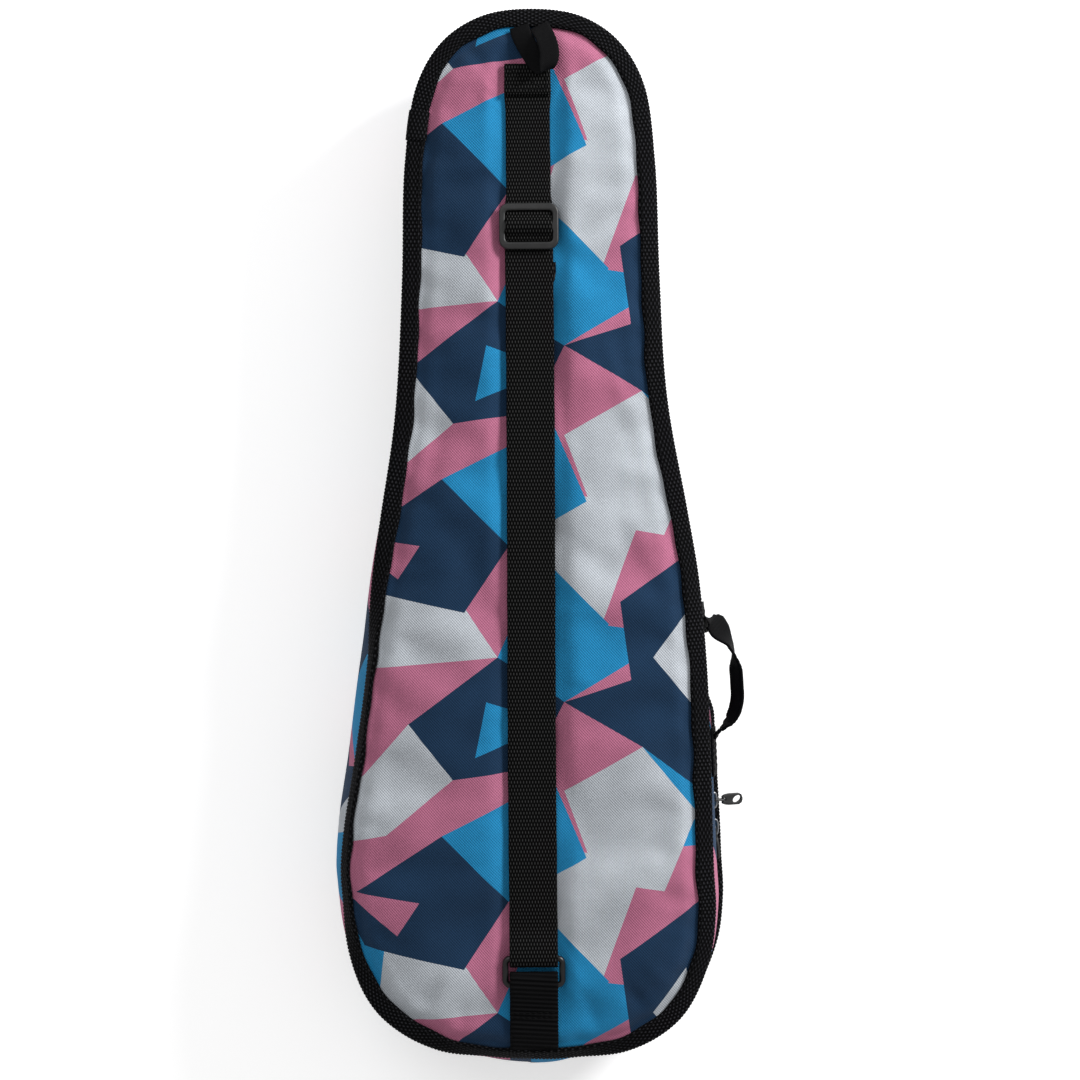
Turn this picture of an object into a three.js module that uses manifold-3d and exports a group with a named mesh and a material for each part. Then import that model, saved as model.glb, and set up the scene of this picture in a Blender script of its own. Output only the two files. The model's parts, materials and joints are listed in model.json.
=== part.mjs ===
// Padded gig bag for a soprano ukulele, lying on its front panel with its shoulder strap up.
// Millimetres. +Z is up and away from the front panel, +Y points to the head, +X to the carry handle.
// The origin is on the bag's centre line, on the face it rests on.
import * as THREE from "three";
import { mergeVertices } from "three/addons/utils/BufferGeometryUtils.js";
import Module from "manifold-3d";

const wasm = await Module();
wasm.setup();

// ---- Driving dimensions ----

// Outer edge of the back binding, from the middle of the bottom up the handle side and down the other.
const OUTLINE = [
  [0, -284.5], [25, -283.5], [55, -278.5], [82, -261], [96.5, -232], [100.2, -205],
  [99.1, -180], [95.7, -105], [94.3, -75], [90.5, -25], [84, 15], [73.5, 75], [69.5, 140],
  [67, 202.5], [60.5, 245.7], [46.4, 268.4], [26, 281.3], [0, 285], [-26, 281.3],
  [-47, 268.4], [-61, 245.7], [-68, 202.5], [-69.6, 140], [-73.5, 65], [-80.5, 8],
  [-87.3, -55], [-95, -122], [-101, -160], [-102.5, -190], [-98, -225], [-81, -259],
  [-50, -277.5], [-25, -283],
];
const DEPTH = 74; // front face to back face
const GAP = 0.3; // between pieces that touch
const FABRIC = 0.8; // shell fabric, lining and zip tape
const FOAM = 5;
const CROWN = 3.05; // how far a padded face stands above its seam
const CROWN_INSET = 26; // from the outline to where the face is flat
const SEAM_INSET = 11; // from the outline to where the face starts to rise
const FOAM_INSET = 11.7;
const LINING_INSET = 15.6;
const SEAM_DEPTH = 4; // of each seam behind the face beside it
const BINDING_WIDTH = 10;
const BINDING_LEAF = 1;
const SEAM_EDGE = 1.5; // from the outline to the fabric's edge, inside the binding
const SLOT_END = 1.2; // from the outline to the fold of the binding
const WALL_ROOT = 10.5; // from the outline to the foot of the side wall
const FLARE = 5.5; // the front outline's growth over the back outline, round the body
const LEAN = 3.5; // the front outline's offset to the handle side, round the body
const BODY_Y = [60, -60]; // the neck turns into the body between these
const BULGE_NECK = 9.5; // how far the side wall bows out between its seams
const BULGE_HANDLE = 10;
const BULGE_FULL = 17.5; // on the hinge side and round the foot
const BULGE_X = [60, 10]; // the handle side's bulge turns into the full one between these
const ZIP_Z = 21;
const ZIP_HALF_GAP = 0.7; // leaves room for the slider's post
const TAPE_REACH = 8.7; // of each zip tape, from the middle of the zip
const TAPE_SHOWN = 6; // of it that the shell leaves uncovered
const TAPE_BACK = FABRIC + GAP; // behind the wall's outer face
const COIL_WIDTH = 2.3;
const COIL_RISE = 1.5;
const RUN_TRIM = 0.1; // share of its last section that a zip leaves to the hinge
const HINGE_Y = [-25, -178]; // the fabric hinge on the left side, between the zip's ends
const STATION_TURN = 0.19; // radians of outline per section
const STATION_STEP = 36; // at most, along a straight stretch
const OUTLINE_SAMPLES = 900;
const CURVE_STEPS = 2; // half the steps of each rounded corner
const LOOSE = 0.9; // between the layers of the side wall, which is curved two ways
const WALL_FOAM_TOP = 9.8; // from the back face to the top of the side wall's foam
const WALL_Z = [42, 53]; // sections of the side wall between the zip and that top
const TRAY = { behind: 2.4, turnZ: 9, rise: 0.4 }; // the front lining's rim inside the wall

const WEB = 1.4; // webbing thickness
const STRAP_WIDTH = 26;
const STRAP_TOP = 253;
const STRAP_DROP = [178, 196]; // where the strap comes down onto the panel above the adjuster
const STRAP_LEAN = 0.0068; // radians
const PATCH = [25, 16];
const ADJUSTER_Y = 166;
const ADJUSTER = [32, 25, 2.6];
const ADJUSTER_BAR = 3;
const ADJUSTER_CORNERS = [3, 1]; // outside and in its windows
const HUMP = { foot: [7, 5.2], clear: 0.6, narrower: 1 }; // half its length outside and inside
const RETURN_SHORT = 14; // the strap's lower layer ends this far below the drop
const RING_Y = -235;
const RING = [34, 17.5];
const RING_BAR = 3.3;
const RING_LIFT = 3.7; // middle of the ring's bars above the panel
const RING_CORNER = 2.2;
const RING_SIDES = 8;
const LOOP_END_Y = -213.5;
const TAB_END_Y = -273.2;
const TAB_MEET = [12, 4]; // the tab's layers close up from the first to the sum of both

const HANG_LOOP = { width: 9.7, thick: 1.2, steps: 16, wide: [0.957, 0.289, 0] };
const HANG_ROUTE = [
  [-5.3, 272.8, -1.6], [-2.6, 267.5, 2.6], [1.8, 259.5, 4.6], [6.2, 252.6, 5.1],
  [7.8, 249.6, 8.2], [7.2, 252.4, 11.4], [6.4, 259.5, 11.8], [5.6, 267.5, 8], [5.2, 272.8, 0.9],
]; // heights from the back face
const HANDLE = {
  z: 40, top: -52, bottom: -108, foot: 3.6, bow: 15, bend: 1.3, thick: 2.6,
  half: 10, halfEnd: 5, widening: 0.7, steps: 10,
};
const HANDLE_PATCH = { rise: 1.6, thick: 2.2 };
const HANDLE_PATCHES = [[-36, -51], [-109, -132]];
const SLIDERS = { a: -150, b: -164.5 };
const SLIDER = {
  length: 11, half: 4, cheek: 3, post: 0.4, back: [-3.2, -2.15], face: [1, 2.2],
}; // depths of its two plates, in and out from the wall's face
const BRIDGE = { half: 4.2, opening: 3, foot: 2, top: [4.6, 5.8], width: 2.5 };
const PULL_AXIS = 3.4; // out from the wall's face
const PULL = {
  width: 7, length: 16.5, thick: 1.4, corner: 1.6, tail: 0.7, lie: 0.08,
  window: { size: [4.9, 3.4], corner: 0.5, x: 3.15 },
  grip: { size: [2.6, 1.5], fromTip: 4.2, tilt: 0.45 },
};
const SLOPE_REACH = 3; // up and down the wall, to find its slope
const HANDLE_SIDE = [0.1, 0.45, 0.0005]; // shares of the outline on that side, and the step

// ---- Materials ----

const printed = { color: 0x5f7f9c, roughness: 0.85 };
const foam = { color: 0xd8d8d2, roughness: 0.95 };
const lining = { color: 0x23262b, roughness: 0.8 };
const tape = { color: 0x0d0d0f, roughness: 0.75 };
const webbing = { color: 0x141415, roughness: 0.7 };
const plastic = { color: 0x111112, roughness: 0.45 };
const metal = { color: 0x8f9296, roughness: 0.3, metalness: 0.9 };

const bag = new THREE.Group();

function add(name, geometry, look, parent = bag) {
  const mesh = new THREE.Mesh(geometry, new THREE.MeshStandardMaterial(look));
  mesh.name = name;
  parent.add(mesh);
  return mesh;
}

// ---- Solids ----

const sub = (a, b) => new THREE.Vector3().subVectors(a, b);

// Triangles over a flat polygon, facing along its own normal.
function capTriangles(points) {
  const normal = new THREE.Vector3();
  points.forEach((p, i) => {
    normal.add(new THREE.Vector3().crossVectors(p, points[(i + 1) % points.length]));
  });
  normal.normalize();
  const u = sub(points[1], points[0]).normalize();
  const v = new THREE.Vector3().crossVectors(normal, u);
  const flat = points.map((p) => new THREE.Vector2(p.dot(u), p.dot(v)));
  return THREE.ShapeUtils.triangulateShape(flat, []).map(([a, b, c]) => {
    const turn = sub(points[b], points[a]).cross(sub(points[c], points[a])).dot(normal);
    return turn > 0 ? [a, b, c] : [a, c, b];
  });
}

// A closed solid through rows of points, capped at both ends or joined into a loop.
function skin(rows, loop = false) {
  const width = rows[0].length;
  const index = [];
  const at = (r, c) => (r % rows.length) * width + (c % width);
  for (let r = 0; r < rows.length - (loop ? 0 : 1); r += 1) {
    for (let c = 0; c < width; c += 1) {
      index.push(at(r, c), at(r, c + 1), at(r + 1, c + 1));
      index.push(at(r, c), at(r + 1, c + 1), at(r + 1, c));
    }
  }
  if (!loop) {
    capTriangles(rows[0]).forEach(([a, b, c]) => index.push(a, c, b));
    const last = (rows.length - 1) * width;
    capTriangles(rows[rows.length - 1]).forEach(([a, b, c]) => {
      index.push(last + a, last + b, last + c);
    });
  }
  const geometry = new THREE.BufferGeometry().setFromPoints(rows.flat());
  geometry.setIndex(index);
  return geometry;
}

function manifold(geometry) {
  const bare = geometry.clone();
  bare.deleteAttribute("normal");
  bare.deleteAttribute("uv");
  const merged = mergeVertices(bare, 1e-4);
  return new wasm.Manifold(
    new wasm.Mesh({
      numProp: 3,
      vertProperties: new Float32Array(merged.attributes.position.array),
      triVerts: new Uint32Array(merged.index.array),
    }),
  );
}

function joined(...geometries) {
  const mesh = geometries.map(manifold).reduce((a, b) => a.add(b)).getMesh();
  const geometry = new THREE.BufferGeometry();
  geometry.setAttribute("position", new THREE.BufferAttribute(mesh.vertProperties, 3));
  geometry.setIndex(new THREE.BufferAttribute(mesh.triVerts, 1));
  return geometry;
}

// ---- Outline ----

const outline = new THREE.CatmullRomCurve3(
  OUTLINE.map(([x, y]) => new THREE.Vector3(x, y, 0)), true, "centripetal",
);

const mix = THREE.MathUtils.lerp;
const ease = (from, to, value) => {
  const t = THREE.MathUtils.clamp((value - from) / (to - from), 0, 1);
  return t * t * (3 - 2 * t);
};

function station(u) {
  const point = outline.getPointAt(u);
  const along = outline.getTangentAt(u);
  const out = new THREE.Vector3(along.y, -along.x, 0);
  const body = ease(...BODY_Y, point.y);
  const full = mix(BULGE_HANDLE, BULGE_FULL, ease(...BULGE_X, point.x));
  return {
    point,
    along,
    out,
    front: body * (FLARE + LEAN * out.x),
    bulge: mix(BULGE_NECK, full, body),
  };
}

// Sections close together where the outline turns, and far apart where it runs straight.
function sections() {
    const kept = [station(0)];
  const total = outline.getLength();
  let since = 0;
  let travelled = 0;
  let last = kept[0];
  for (let i = 1; i < OUTLINE_SAMPLES; i += 1) {
    const here = station(i / OUTLINE_SAMPLES);
    const passes = (y) => (last.point.y - y) * (here.point.y - y) < 0;
    since += last.along.angleTo(here.along);
    travelled += total / OUTLINE_SAMPLES;
    last = here;
    if (since > STATION_TURN || travelled > STATION_STEP || HINGE_Y.some(passes)) {
      kept.push(here);
      since = 0;
      travelled = 0;
    }
  }
  return kept;
}

const stations = sections();
const place = (s, n, z) => s.point.clone().addScaledVector(s.out, n).setZ(z);

const BACK_SEAM = DEPTH - SEAM_DEPTH;
const FRONT_SEAM = SEAM_DEPTH;

// Distance of the side wall's outer face from the outline, at a height.
function wall(s, z) {
  const t = (BACK_SEAM - z) / (BACK_SEAM - FRONT_SEAM);
  return -WALL_ROOT + s.front * t + s.bulge * Math.sin(Math.PI * t) ** 2;
}

// ---- Panels ----

// Each panel layer lies between two depths under the outer face, and drops by CROWN towards its edge.
function panel(isBack, from, to, inset) {
  const z = (depth) => (isBack ? DEPTH - depth : depth);
  const slope = CROWN / (CROWN_INSET - SEAM_INSET);
  const fall = (n) => THREE.MathUtils.clamp((CROWN_INSET - n) * slope, 0, CROWN);
  const ring = (n, depth) => stations.map((s) => {
    return place(s, (isBack ? 0 : s.front) - n, z(depth + fall(n)));
  });
  const steps = inset < SEAM_INSET ? [CROWN_INSET, SEAM_INSET, inset] : [CROWN_INSET, inset];
  const inner = steps.map((n) => ring(n, to));
  const outer = [...steps].reverse().map((n) => ring(n, from));
  const rows = [...inner, ...outer];
  return skin(isBack ? rows : rows.reverse());
}

// A tray: flat over the foam, and turned up inside the wall as far as the zip.
function frontLining() {
  const flat = (depth) => stations.map((s) => place(s, s.front - CROWN_INSET, depth));
  const rim = (z, back) => stations.map((s) => place(s, wall(s, z) - back, z));
  const turn = (back, z) => stations.map((s) => place(s, wall(s, TRAY.turnZ) - back, z));
  const under = 2 * GAP + FABRIC + FOAM;
  const top = ZIP_Z - TAPE_SHOWN + 1;
  const [near, far] = [TRAY.behind, TRAY.behind + FABRIC];
  const low = TRAY.turnZ + TRAY.rise;
  return skin([
    flat(under), turn(near, low), rim(top, near), rim(top, far), turn(far, low + FABRIC),
    flat(under + FABRIC),
  ]);
}

const layers = { shell: 0, padding: FABRIC + GAP, lining: FABRIC + FOAM + 2 * GAP };
add("back_shell", panel(true, layers.shell, FABRIC, SEAM_EDGE), printed);
add("back_padding", panel(true, layers.padding, layers.padding + FOAM, FOAM_INSET), foam);
add("back_lining", panel(true, layers.lining, layers.lining + FABRIC, LINING_INSET), lining);
add("front_shell", panel(false, layers.shell, FABRIC, SEAM_EDGE), printed);
add("front_padding", panel(false, layers.padding, layers.padding + FOAM, FOAM_INSET), foam);
add("front_lining", frontLining(), lining);

// ---- Side wall ----

// A band round the bag, or along part of it, from a profile of [distance, height] at each station.
function band(profile, run = stations, loop = true) {
  const rows = run.map((s) => profile(s).map(([n, z]) => place(s, n, z)).reverse());
  return skin(rows, loop);
}

// A layer of the wall through some heights, between two distances behind its outer face.
function wallLayer(levels, near, far) {
  return (s) => [
    ...levels.map((z) => [wall(s, z) - near, z]),
    ...[...levels].reverse().map((z) => [wall(s, z) - far, z]),
  ];
}

const BACK_FLANGE = BACK_SEAM - GAP / 2;
const FRONT_FLANGE = FRONT_SEAM + GAP / 2;
const SHELL_FOOT = ZIP_Z + TAPE_SHOWN;
const BAND_TOP = ZIP_Z - TAPE_SHOWN;
const PADDING_LEVELS = [ZIP_Z + TAPE_REACH + GAP, ...WALL_Z, DEPTH - WALL_FOAM_TOP];
const SHELL_LEVELS = [SHELL_FOOT, ...PADDING_LEVELS, BACK_SEAM - 3];
const WALL_FOAM = FABRIC + LOOSE;
const WALL_LINING = WALL_FOAM + FOAM + LOOSE;
const BAND_LEVELS = [FRONT_SEAM + 2.6, ZIP_Z - TAPE_REACH, BAND_TOP];

function gussetShell(s) {
  const outer = wallLayer(SHELL_LEVELS, 0, FABRIC)(s);
  const count = SHELL_LEVELS.length;
  return [
    ...outer.slice(0, count),
    [-WALL_ROOT, BACK_FLANGE - FABRIC],
    [-SEAM_EDGE, BACK_FLANGE - FABRIC],
    [-SEAM_EDGE, BACK_FLANGE],
    [-WALL_ROOT - FABRIC, BACK_FLANGE],
    ...outer.slice(count),
  ];
}

function bandShell(s) {
  const foot = wall(s, FRONT_FLANGE + FABRIC);
  return [
    [foot - FABRIC, FRONT_FLANGE],
    [s.front - SEAM_EDGE, FRONT_FLANGE],
    [s.front - SEAM_EDGE, FRONT_FLANGE + FABRIC],
    [foot, FRONT_FLANGE + FABRIC],
    ...wallLayer(BAND_LEVELS, 0, FABRIC)(s),
  ];
}

add("gusset_shell", band(gussetShell), printed);
add("gusset_padding", band(wallLayer(PADDING_LEVELS, WALL_FOAM, WALL_FOAM + FOAM)), foam);
add("gusset_lining", band(wallLayer(PADDING_LEVELS, WALL_LINING, WALL_LINING + FABRIC)), lining);
add("front_band_shell", band(bandShell), printed);

// ---- Bindings ----

// Tape folded over the seam's edge: two leaves and the fold.
function binding(seam, edge) {
  const slot = FABRIC + 1.5 * GAP;
  const leaf = slot + BINDING_LEAF;
  return (s) => {
    const n = edge(s);
    const mouth = n - BINDING_WIDTH;
    return [
      [mouth, seam - leaf], [n, seam - leaf], [n, seam + leaf], [mouth, seam + leaf],
      [mouth, seam + slot], [n - SLOT_END, seam + slot],
      [n - SLOT_END, seam - slot], [mouth, seam - slot],
    ];
  };
}

add("back_binding", band(binding(BACK_SEAM, () => 0)), tape);
add("front_binding", band(binding(FRONT_SEAM, (s) => s.front)), tape);

// ---- Main zip and fabric hinge ----

const isHinge = (s) => s.point.x < 0 && s.point.y < HINGE_Y[0] && s.point.y > HINGE_Y[1];
const hingeFirst = stations.findIndex(isHinge);
const hingeRun = stations.filter(isHinge);
const hingeEnd = hingeFirst + hingeRun.length;
// The zip runs from the hinge's lower end round the foot, the handle side and the head.
const zipRun = [...stations.slice(hingeEnd - 1), ...stations.slice(0, hingeFirst + 1)];

for (const [name, sign] of Object.entries({ front: -1, back: 1 })) {
  // Heights from the middle of the zip, lowest first.
  const levels = (...offsets) => offsets.map((d) => ZIP_Z + sign * d).sort((a, b) => a - b);
  const coilEnd = ZIP_HALF_GAP + COIL_WIDTH;
  const tapeLevels = levels(ZIP_HALF_GAP, coilEnd, TAPE_SHOWN, TAPE_REACH);
  const tapeLayer = wallLayer(tapeLevels, TAPE_BACK, TAPE_BACK + FABRIC);
  add(`${name}_zip_tape`, band(tapeLayer, shortened(zipRun), false), tape);
  const coil = wallLayer(levels(ZIP_HALF_GAP, coilEnd), FABRIC - COIL_RISE, FABRIC);
  add(`${name}_zip_coil`, band(coil, shortened(zipRun), false), plastic);
  const stripLevels = levels(GAP, TAPE_SHOWN, TAPE_REACH);
  const strip = wallLayer(stripLevels, TAPE_BACK, TAPE_BACK + FABRIC);
  add(`${name}_hinge_strip`, band(strip, hingeRun, false), printed);
}

// The run without its last millimetres at both ends, where the next piece begins.
function shortened(run) {
  const between = (a, b, share) => ({
    ...a,
    point: a.point.clone().lerp(b.point, share),
    out: a.out.clone().lerp(b.out, share).normalize(),
    front: mix(a.front, b.front, share),
    bulge: mix(a.bulge, b.bulge, share),
  });
  const n = run.length;
  return [
    between(run[0], run[1], RUN_TRIM),
    ...run.slice(1, n - 1),
    between(run[n - 1], run[n - 2], RUN_TRIM),
  ];
}

// ---- Sliders and pulls ----

function extruded(points, depth) {
  const shape = new THREE.Shape(points.map(([x, y]) => new THREE.Vector2(x, y)));
  return new THREE.ExtrudeGeometry(shape, { depth, bevelEnabled: false, curveSegments: CURVE_STEPS });
}

// A rectangle with rounded corners about a centre.
function roundRect(width, height, radius, path = new THREE.Shape(), cx = 0, cy = 0) {
  const [w, h] = [width / 2 - radius, height / 2 - radius];
  const corners = [[w, h, 0], [-w, h, 1], [-w, -h, 2], [w, -h, 3]];
  corners.forEach(([x, y, quarter]) => {
    const start = (quarter * Math.PI) / 2;
    path.absarc(cx + x, cy + y, radius, start, start + Math.PI / 2, false);
  });
  path.closePath();
  return path;
}

// Slider frame: +X out of the wall, +Y along the zip, +Z up the wall, from the wall's outer face.
function sliderBody(slope) {
  const { length, half, cheek, post, back, face } = SLIDER;
  const beside = (x, edge) => [x, x * slope + edge];
  const profile = [
    [back[0], -cheek], [back[1], -cheek], beside(back[1], -post), beside(face[0], -post),
    [face[0], -half], [face[1], -half], [face[1], half], [face[0], half],
    beside(face[0], post), beside(back[1], post), [back[1], cheek], [back[0], cheek],
  ];
  const plates = extruded(profile.map(([x, z]) => [x, -z]), length);
  plates.rotateX(-Math.PI / 2).translate(0, -length / 2, 0);
  const { foot, top, opening, width } = BRIDGE;
  const outside = BRIDGE.half;
  const bridge = extruded([
    [foot, -outside], [top[1], -outside], [top[1], outside], [foot, outside],
    [foot, opening], [top[0], opening], [top[0], -opening], [foot, -opening],
  ], width).translate(0, 0, -width / 2);
  return joined(plates, bridge);
}

// The pull points out along +X from its axis, with a window round the bridge and an oval grip hole.
function pullPlate() {
  const { width, length, thick, corner, tail, window, grip } = PULL;
  const plate = roundRect(length, width, corner, new THREE.Shape(), length / 2 - tail, 0);
  const slot = roundRect(...window.size, window.corner, new THREE.Path(), window.x, 0);
  const oval = new THREE.Path().absellipse(
    length - grip.fromTip, 0, ...grip.size, 0, 2 * Math.PI, false, grip.tilt,
  );
  plate.holes.push(slot, oval);
  const geometry = new THREE.ExtrudeGeometry(plate, {
    depth: thick, bevelEnabled: false, curveSegments: CURVE_STEPS,
  });
  return geometry.translate(0, 0, -thick / 2).rotateX(Math.PI / 2);
}

// The station on the handle side at a height up the bag.
function handleSide(y) {
  const [first, last, step] = HANDLE_SIDE;
  const off = (u) => Math.abs(outline.getPointAt(u).y - y);
  let best = 0;
  for (let u = first; u < last; u += step) {
    if (off(u) < off(best)) best = u;
  }
  return station(best);
}

// The wall's frame at a point of its outer face on the handle side.
function wallFrame(y, z) {
  const s = handleSide(y);
  const slope = (wall(s, z + SLOPE_REACH) - wall(s, z - SLOPE_REACH)) / (2 * SLOPE_REACH);
  const up = s.out.clone().multiplyScalar(slope).setZ(1).normalize();
  const outward = new THREE.Vector3().crossVectors(s.along, up).normalize();
  return { origin: place(s, wall(s, z), z), outward, along: s.along, up, slope };
}

for (const [letter, y] of Object.entries(SLIDERS)) {
  const { origin, outward, along, up, slope } = wallFrame(y, ZIP_Z);
  const group = new THREE.Group();
  group.position.copy(origin);
  group.setRotationFromMatrix(new THREE.Matrix4().makeBasis(outward, along, up));
  bag.add(group);
  add(`zip_slider_${letter}`, sliderBody(slope), metal, group);
  const pull = add(`zip_pull_${letter}`, pullPlate(), plastic, group);
  pull.position.x = PULL_AXIS;
  // The lower pull lies along the zip.
  pull.rotation.z = letter === "a" ? 0 : PULL.lie - Math.PI / 2;
}

// ---- Shoulder strap, adjuster, ring and tab ----

const strap = new THREE.Group();
strap.rotation.z = STRAP_LEAN;
strap.position.z = DEPTH;
bag.add(strap);

// A side view of [y, z] points given a width across the bag.
function across(points, width) {
  const geometry = extruded(points, width);
  return geometry.translate(0, 0, -width / 2).applyMatrix4(
    new THREE.Matrix4().makeBasis(
      new THREE.Vector3(0, 1, 0), new THREE.Vector3(0, 0, 1), new THREE.Vector3(1, 0, 0),
    ),
  );
}

const LAYER_1 = GAP;
const LAYER_2 = 2 * GAP + WEB;

function strapRun() {
  const [low, high] = STRAP_DROP;
  return across([
    [LOOP_END_Y + GAP, LAYER_2], [low, LAYER_2], [high, LAYER_1], [STRAP_TOP, LAYER_1],
    [STRAP_TOP, LAYER_1 + WEB], [high, LAYER_1 + WEB], [low, LAYER_2 + WEB],
    [LOOP_END_Y + GAP, LAYER_2 + WEB],
  ], STRAP_WIDTH);
}

const box = (y0, y1, z0, z1) => [[y0, z0], [y1, z0], [y1, z1], [y0, z1]];

// Half a turn round a bar: from its underside, past the far side, to its top.
function halfTurn(y, z, radius, towards, count = 8) {
  return Array.from({ length: count + 1 }, (_, i) => {
    const angle = -Math.PI / 2 + (towards * Math.PI * i) / count;
    return [y + radius * Math.cos(angle), z + radius * Math.sin(angle)];
  });
}

// Webbing folded round a bar, with the points of its ends below, above and between the layers.
function foldRound(barY, towards, ends) {
  const inside = RING_BAR / 2 + GAP;
  const outside = inside + WEB;
  return [
    ...ends.under,
    ...halfTurn(barY, RING_LIFT, outside, towards),
    ...ends.over,
    ...halfTurn(barY, RING_LIFT, inside, towards).reverse(),
    ...ends.inner,
  ];
}

const UPPER_BAR_Y = RING_Y + RING[1] / 2 - RING_BAR / 2;
const LOWER_BAR_Y = RING_Y - RING[1] / 2 + RING_BAR / 2;

function strapLoop() {
  return across(foldRound(UPPER_BAR_Y, -1, {
    under: [[LOOP_END_Y, LAYER_1]],
    over: [[LOOP_END_Y, LAYER_2 + WEB], [LOOP_END_Y, LAYER_2]],
    inner: [[LOOP_END_Y, LAYER_1 + WEB]],
  }), STRAP_WIDTH);
}

function ringTab() {
  const meet = LOWER_BAR_Y - TAB_MEET[0];
  const closed = meet - TAB_MEET[1];
  const edge = -CROWN + GAP;
  return across(foldRound(LOWER_BAR_Y, 1, {
    under: [[closed, LAYER_1], [LOWER_BAR_Y, RING_LIFT - RING_BAR / 2 - GAP - WEB]],
    over: [
      [meet, LAYER_2 + WEB], [closed, LAYER_2 + WEB],
      [TAB_END_Y, edge + 2 * WEB + GAP], [TAB_END_Y, edge + WEB + GAP],
      [closed, LAYER_2], [meet, LAYER_2],
    ],
    inner: [[meet, LAYER_1 + WEB], [TAB_END_Y, edge + WEB], [TAB_END_Y, edge]],
  }), STRAP_WIDTH);
}

function ringFrame() {
  const [w, h] = [RING[0] - RING_BAR, RING[1] - RING_BAR];
  const route = roundRect(w, h, RING_CORNER);
  const points = route.getPoints(CURVE_STEPS).map((p) => new THREE.Vector3(p.x, p.y, 0));
  points.pop();
  const rows = points.map((p, i) => {
    const before = points[(i + points.length - 1) % points.length];
    const along = sub(points[(i + 1) % points.length], before).normalize();
    const out = new THREE.Vector3(along.y, -along.x, 0);
    return Array.from({ length: RING_SIDES }, (_, k) => {
      const angle = (-2 * Math.PI * k) / RING_SIDES;
      return p.clone().addScaledVector(out, (RING_BAR / 2) * Math.cos(angle))
        .setZ((RING_BAR / 2) * Math.sin(angle));
    });
  });
  return skin(rows, true).translate(0, RING_Y, RING_LIFT);
}

function adjusterFrame() {
  const [w, h, thick] = ADJUSTER;
  const [outer, inner] = ADJUSTER_CORNERS;
  const frame = roundRect(w, h, outer);
  const inside = w - 2 * ADJUSTER_BAR;
  const tall = (h - 3 * ADJUSTER_BAR) / 2;
  for (const sign of [-1, 1]) {
    const middle = sign * (tall / 2 + ADJUSTER_BAR / 2);
    frame.holes.push(roundRect(inside, tall, inner, new THREE.Path(), 0, middle));
  }
  return new THREE.ExtrudeGeometry(frame, {
    depth: thick, bevelEnabled: false, curveSegments: CURVE_STEPS,
  }).translate(0, ADJUSTER_Y, LAYER_2 + WEB + GAP);
}

// The strap's hump over the adjuster's middle bar.
function adjusterHump() {
  const foot = LAYER_2 + WEB + GAP;
  const top = foot + ADJUSTER[2] + GAP;
  const { clear } = HUMP;
  const half = ADJUSTER_BAR / 2 + clear;
  const outer = [[-HUMP.foot[0], foot], [-half - WEB - clear, top - clear], [-half, top + WEB]];
  const inner = [[-HUMP.foot[1], foot], [-half, top - 2 * clear], [-half + WEB / 3, top]];
  const other = (side) => side.map(([y, z]) => [-y, z]);
  const contour = [...outer, ...other(outer).reverse(), ...other(inner), ...inner.reverse()];
  const width = ADJUSTER[0] - 2 * ADJUSTER_BAR - HUMP.narrower;
  return across(contour.map(([y, z]) => [ADJUSTER_Y + y, z]), width);
}

add("back_strap", strapRun(), webbing, strap);
const returnSide = box(LOOP_END_Y + GAP, STRAP_DROP[0] - RETURN_SHORT, LAYER_1, LAYER_1 + WEB);
add("strap_return", across(returnSide, STRAP_WIDTH), webbing, strap);
const patchSide = box(STRAP_TOP - PATCH[1], STRAP_TOP, LAYER_2, LAYER_2 + WEB);
add("strap_end_patch", across(patchSide, PATCH[0]), webbing, strap);
add("strap_loop_end", strapLoop(), webbing, strap);
add("ring_tab", ringTab(), webbing, strap);
add("strap_ring", ringFrame(), metal, strap);
add("strap_adjuster", adjusterFrame(), plastic, strap);
add("adjuster_hump", adjusterHump(), webbing, strap);

// ---- Hang loop ----

// A ribbon through points, of a half width along [wide] at each of them.
function ribbon(points, wide, half, thick) {
  const rows = points.map((p, i) => {
    const before = points[Math.max(i - 1, 0)];
    const after = points[Math.min(i + 1, points.length - 1)];
    const along = sub(after, before).normalize();
    const face = new THREE.Vector3().crossVectors(wide, along).normalize();
    const corner = (a, b) => {
      return p.clone().addScaledVector(wide, a * half(i)).addScaledVector(face, (b * thick) / 2);
    };
    return [corner(-1, -1), corner(-1, 1), corner(1, 1), corner(1, -1)];
  });
  return skin(rows);
}

// Folded tape: out along the panel, round at the tip, and back above itself to the same seam.
function hangLoop() {
  const route = new THREE.CatmullRomCurve3(
    HANG_ROUTE.map(([x, y, z]) => new THREE.Vector3(x, y, z + DEPTH)),
  );
  const wide = new THREE.Vector3(...HANG_LOOP.wide);
  return ribbon(route.getPoints(HANG_LOOP.steps), wide, () => HANG_LOOP.width / 2, HANG_LOOP.thick);
}
add("hang_loop", hangLoop(), tape);

// ---- Carry handle ----

// Points off the wall at the handle's height, and the direction up the wall there.
const handleFrame = wallFrame((HANDLE.top + HANDLE.bottom) / 2, HANDLE.z);
function offWall(y, rise) {
  const { origin, outward } = wallFrame(y, HANDLE.z);
  return origin.addScaledVector(outward, rise);
}

function carryHandle() {
  const { steps, top, bottom, foot, bow, bend, half, halfEnd, widening } = HANDLE;
  const rise = (t) => Math.sin(Math.PI * t) ** bend * bow + foot;
  const points = Array.from({ length: steps + 1 }, (_, i) => {
    return offWall(mix(top, bottom, i / steps), rise(i / steps));
  });
  const halfAt = (i) => mix(halfEnd, half, Math.sin((Math.PI * i) / steps) ** widening);
  return ribbon(points, handleFrame.up, halfAt, HANDLE.thick);
}

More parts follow.
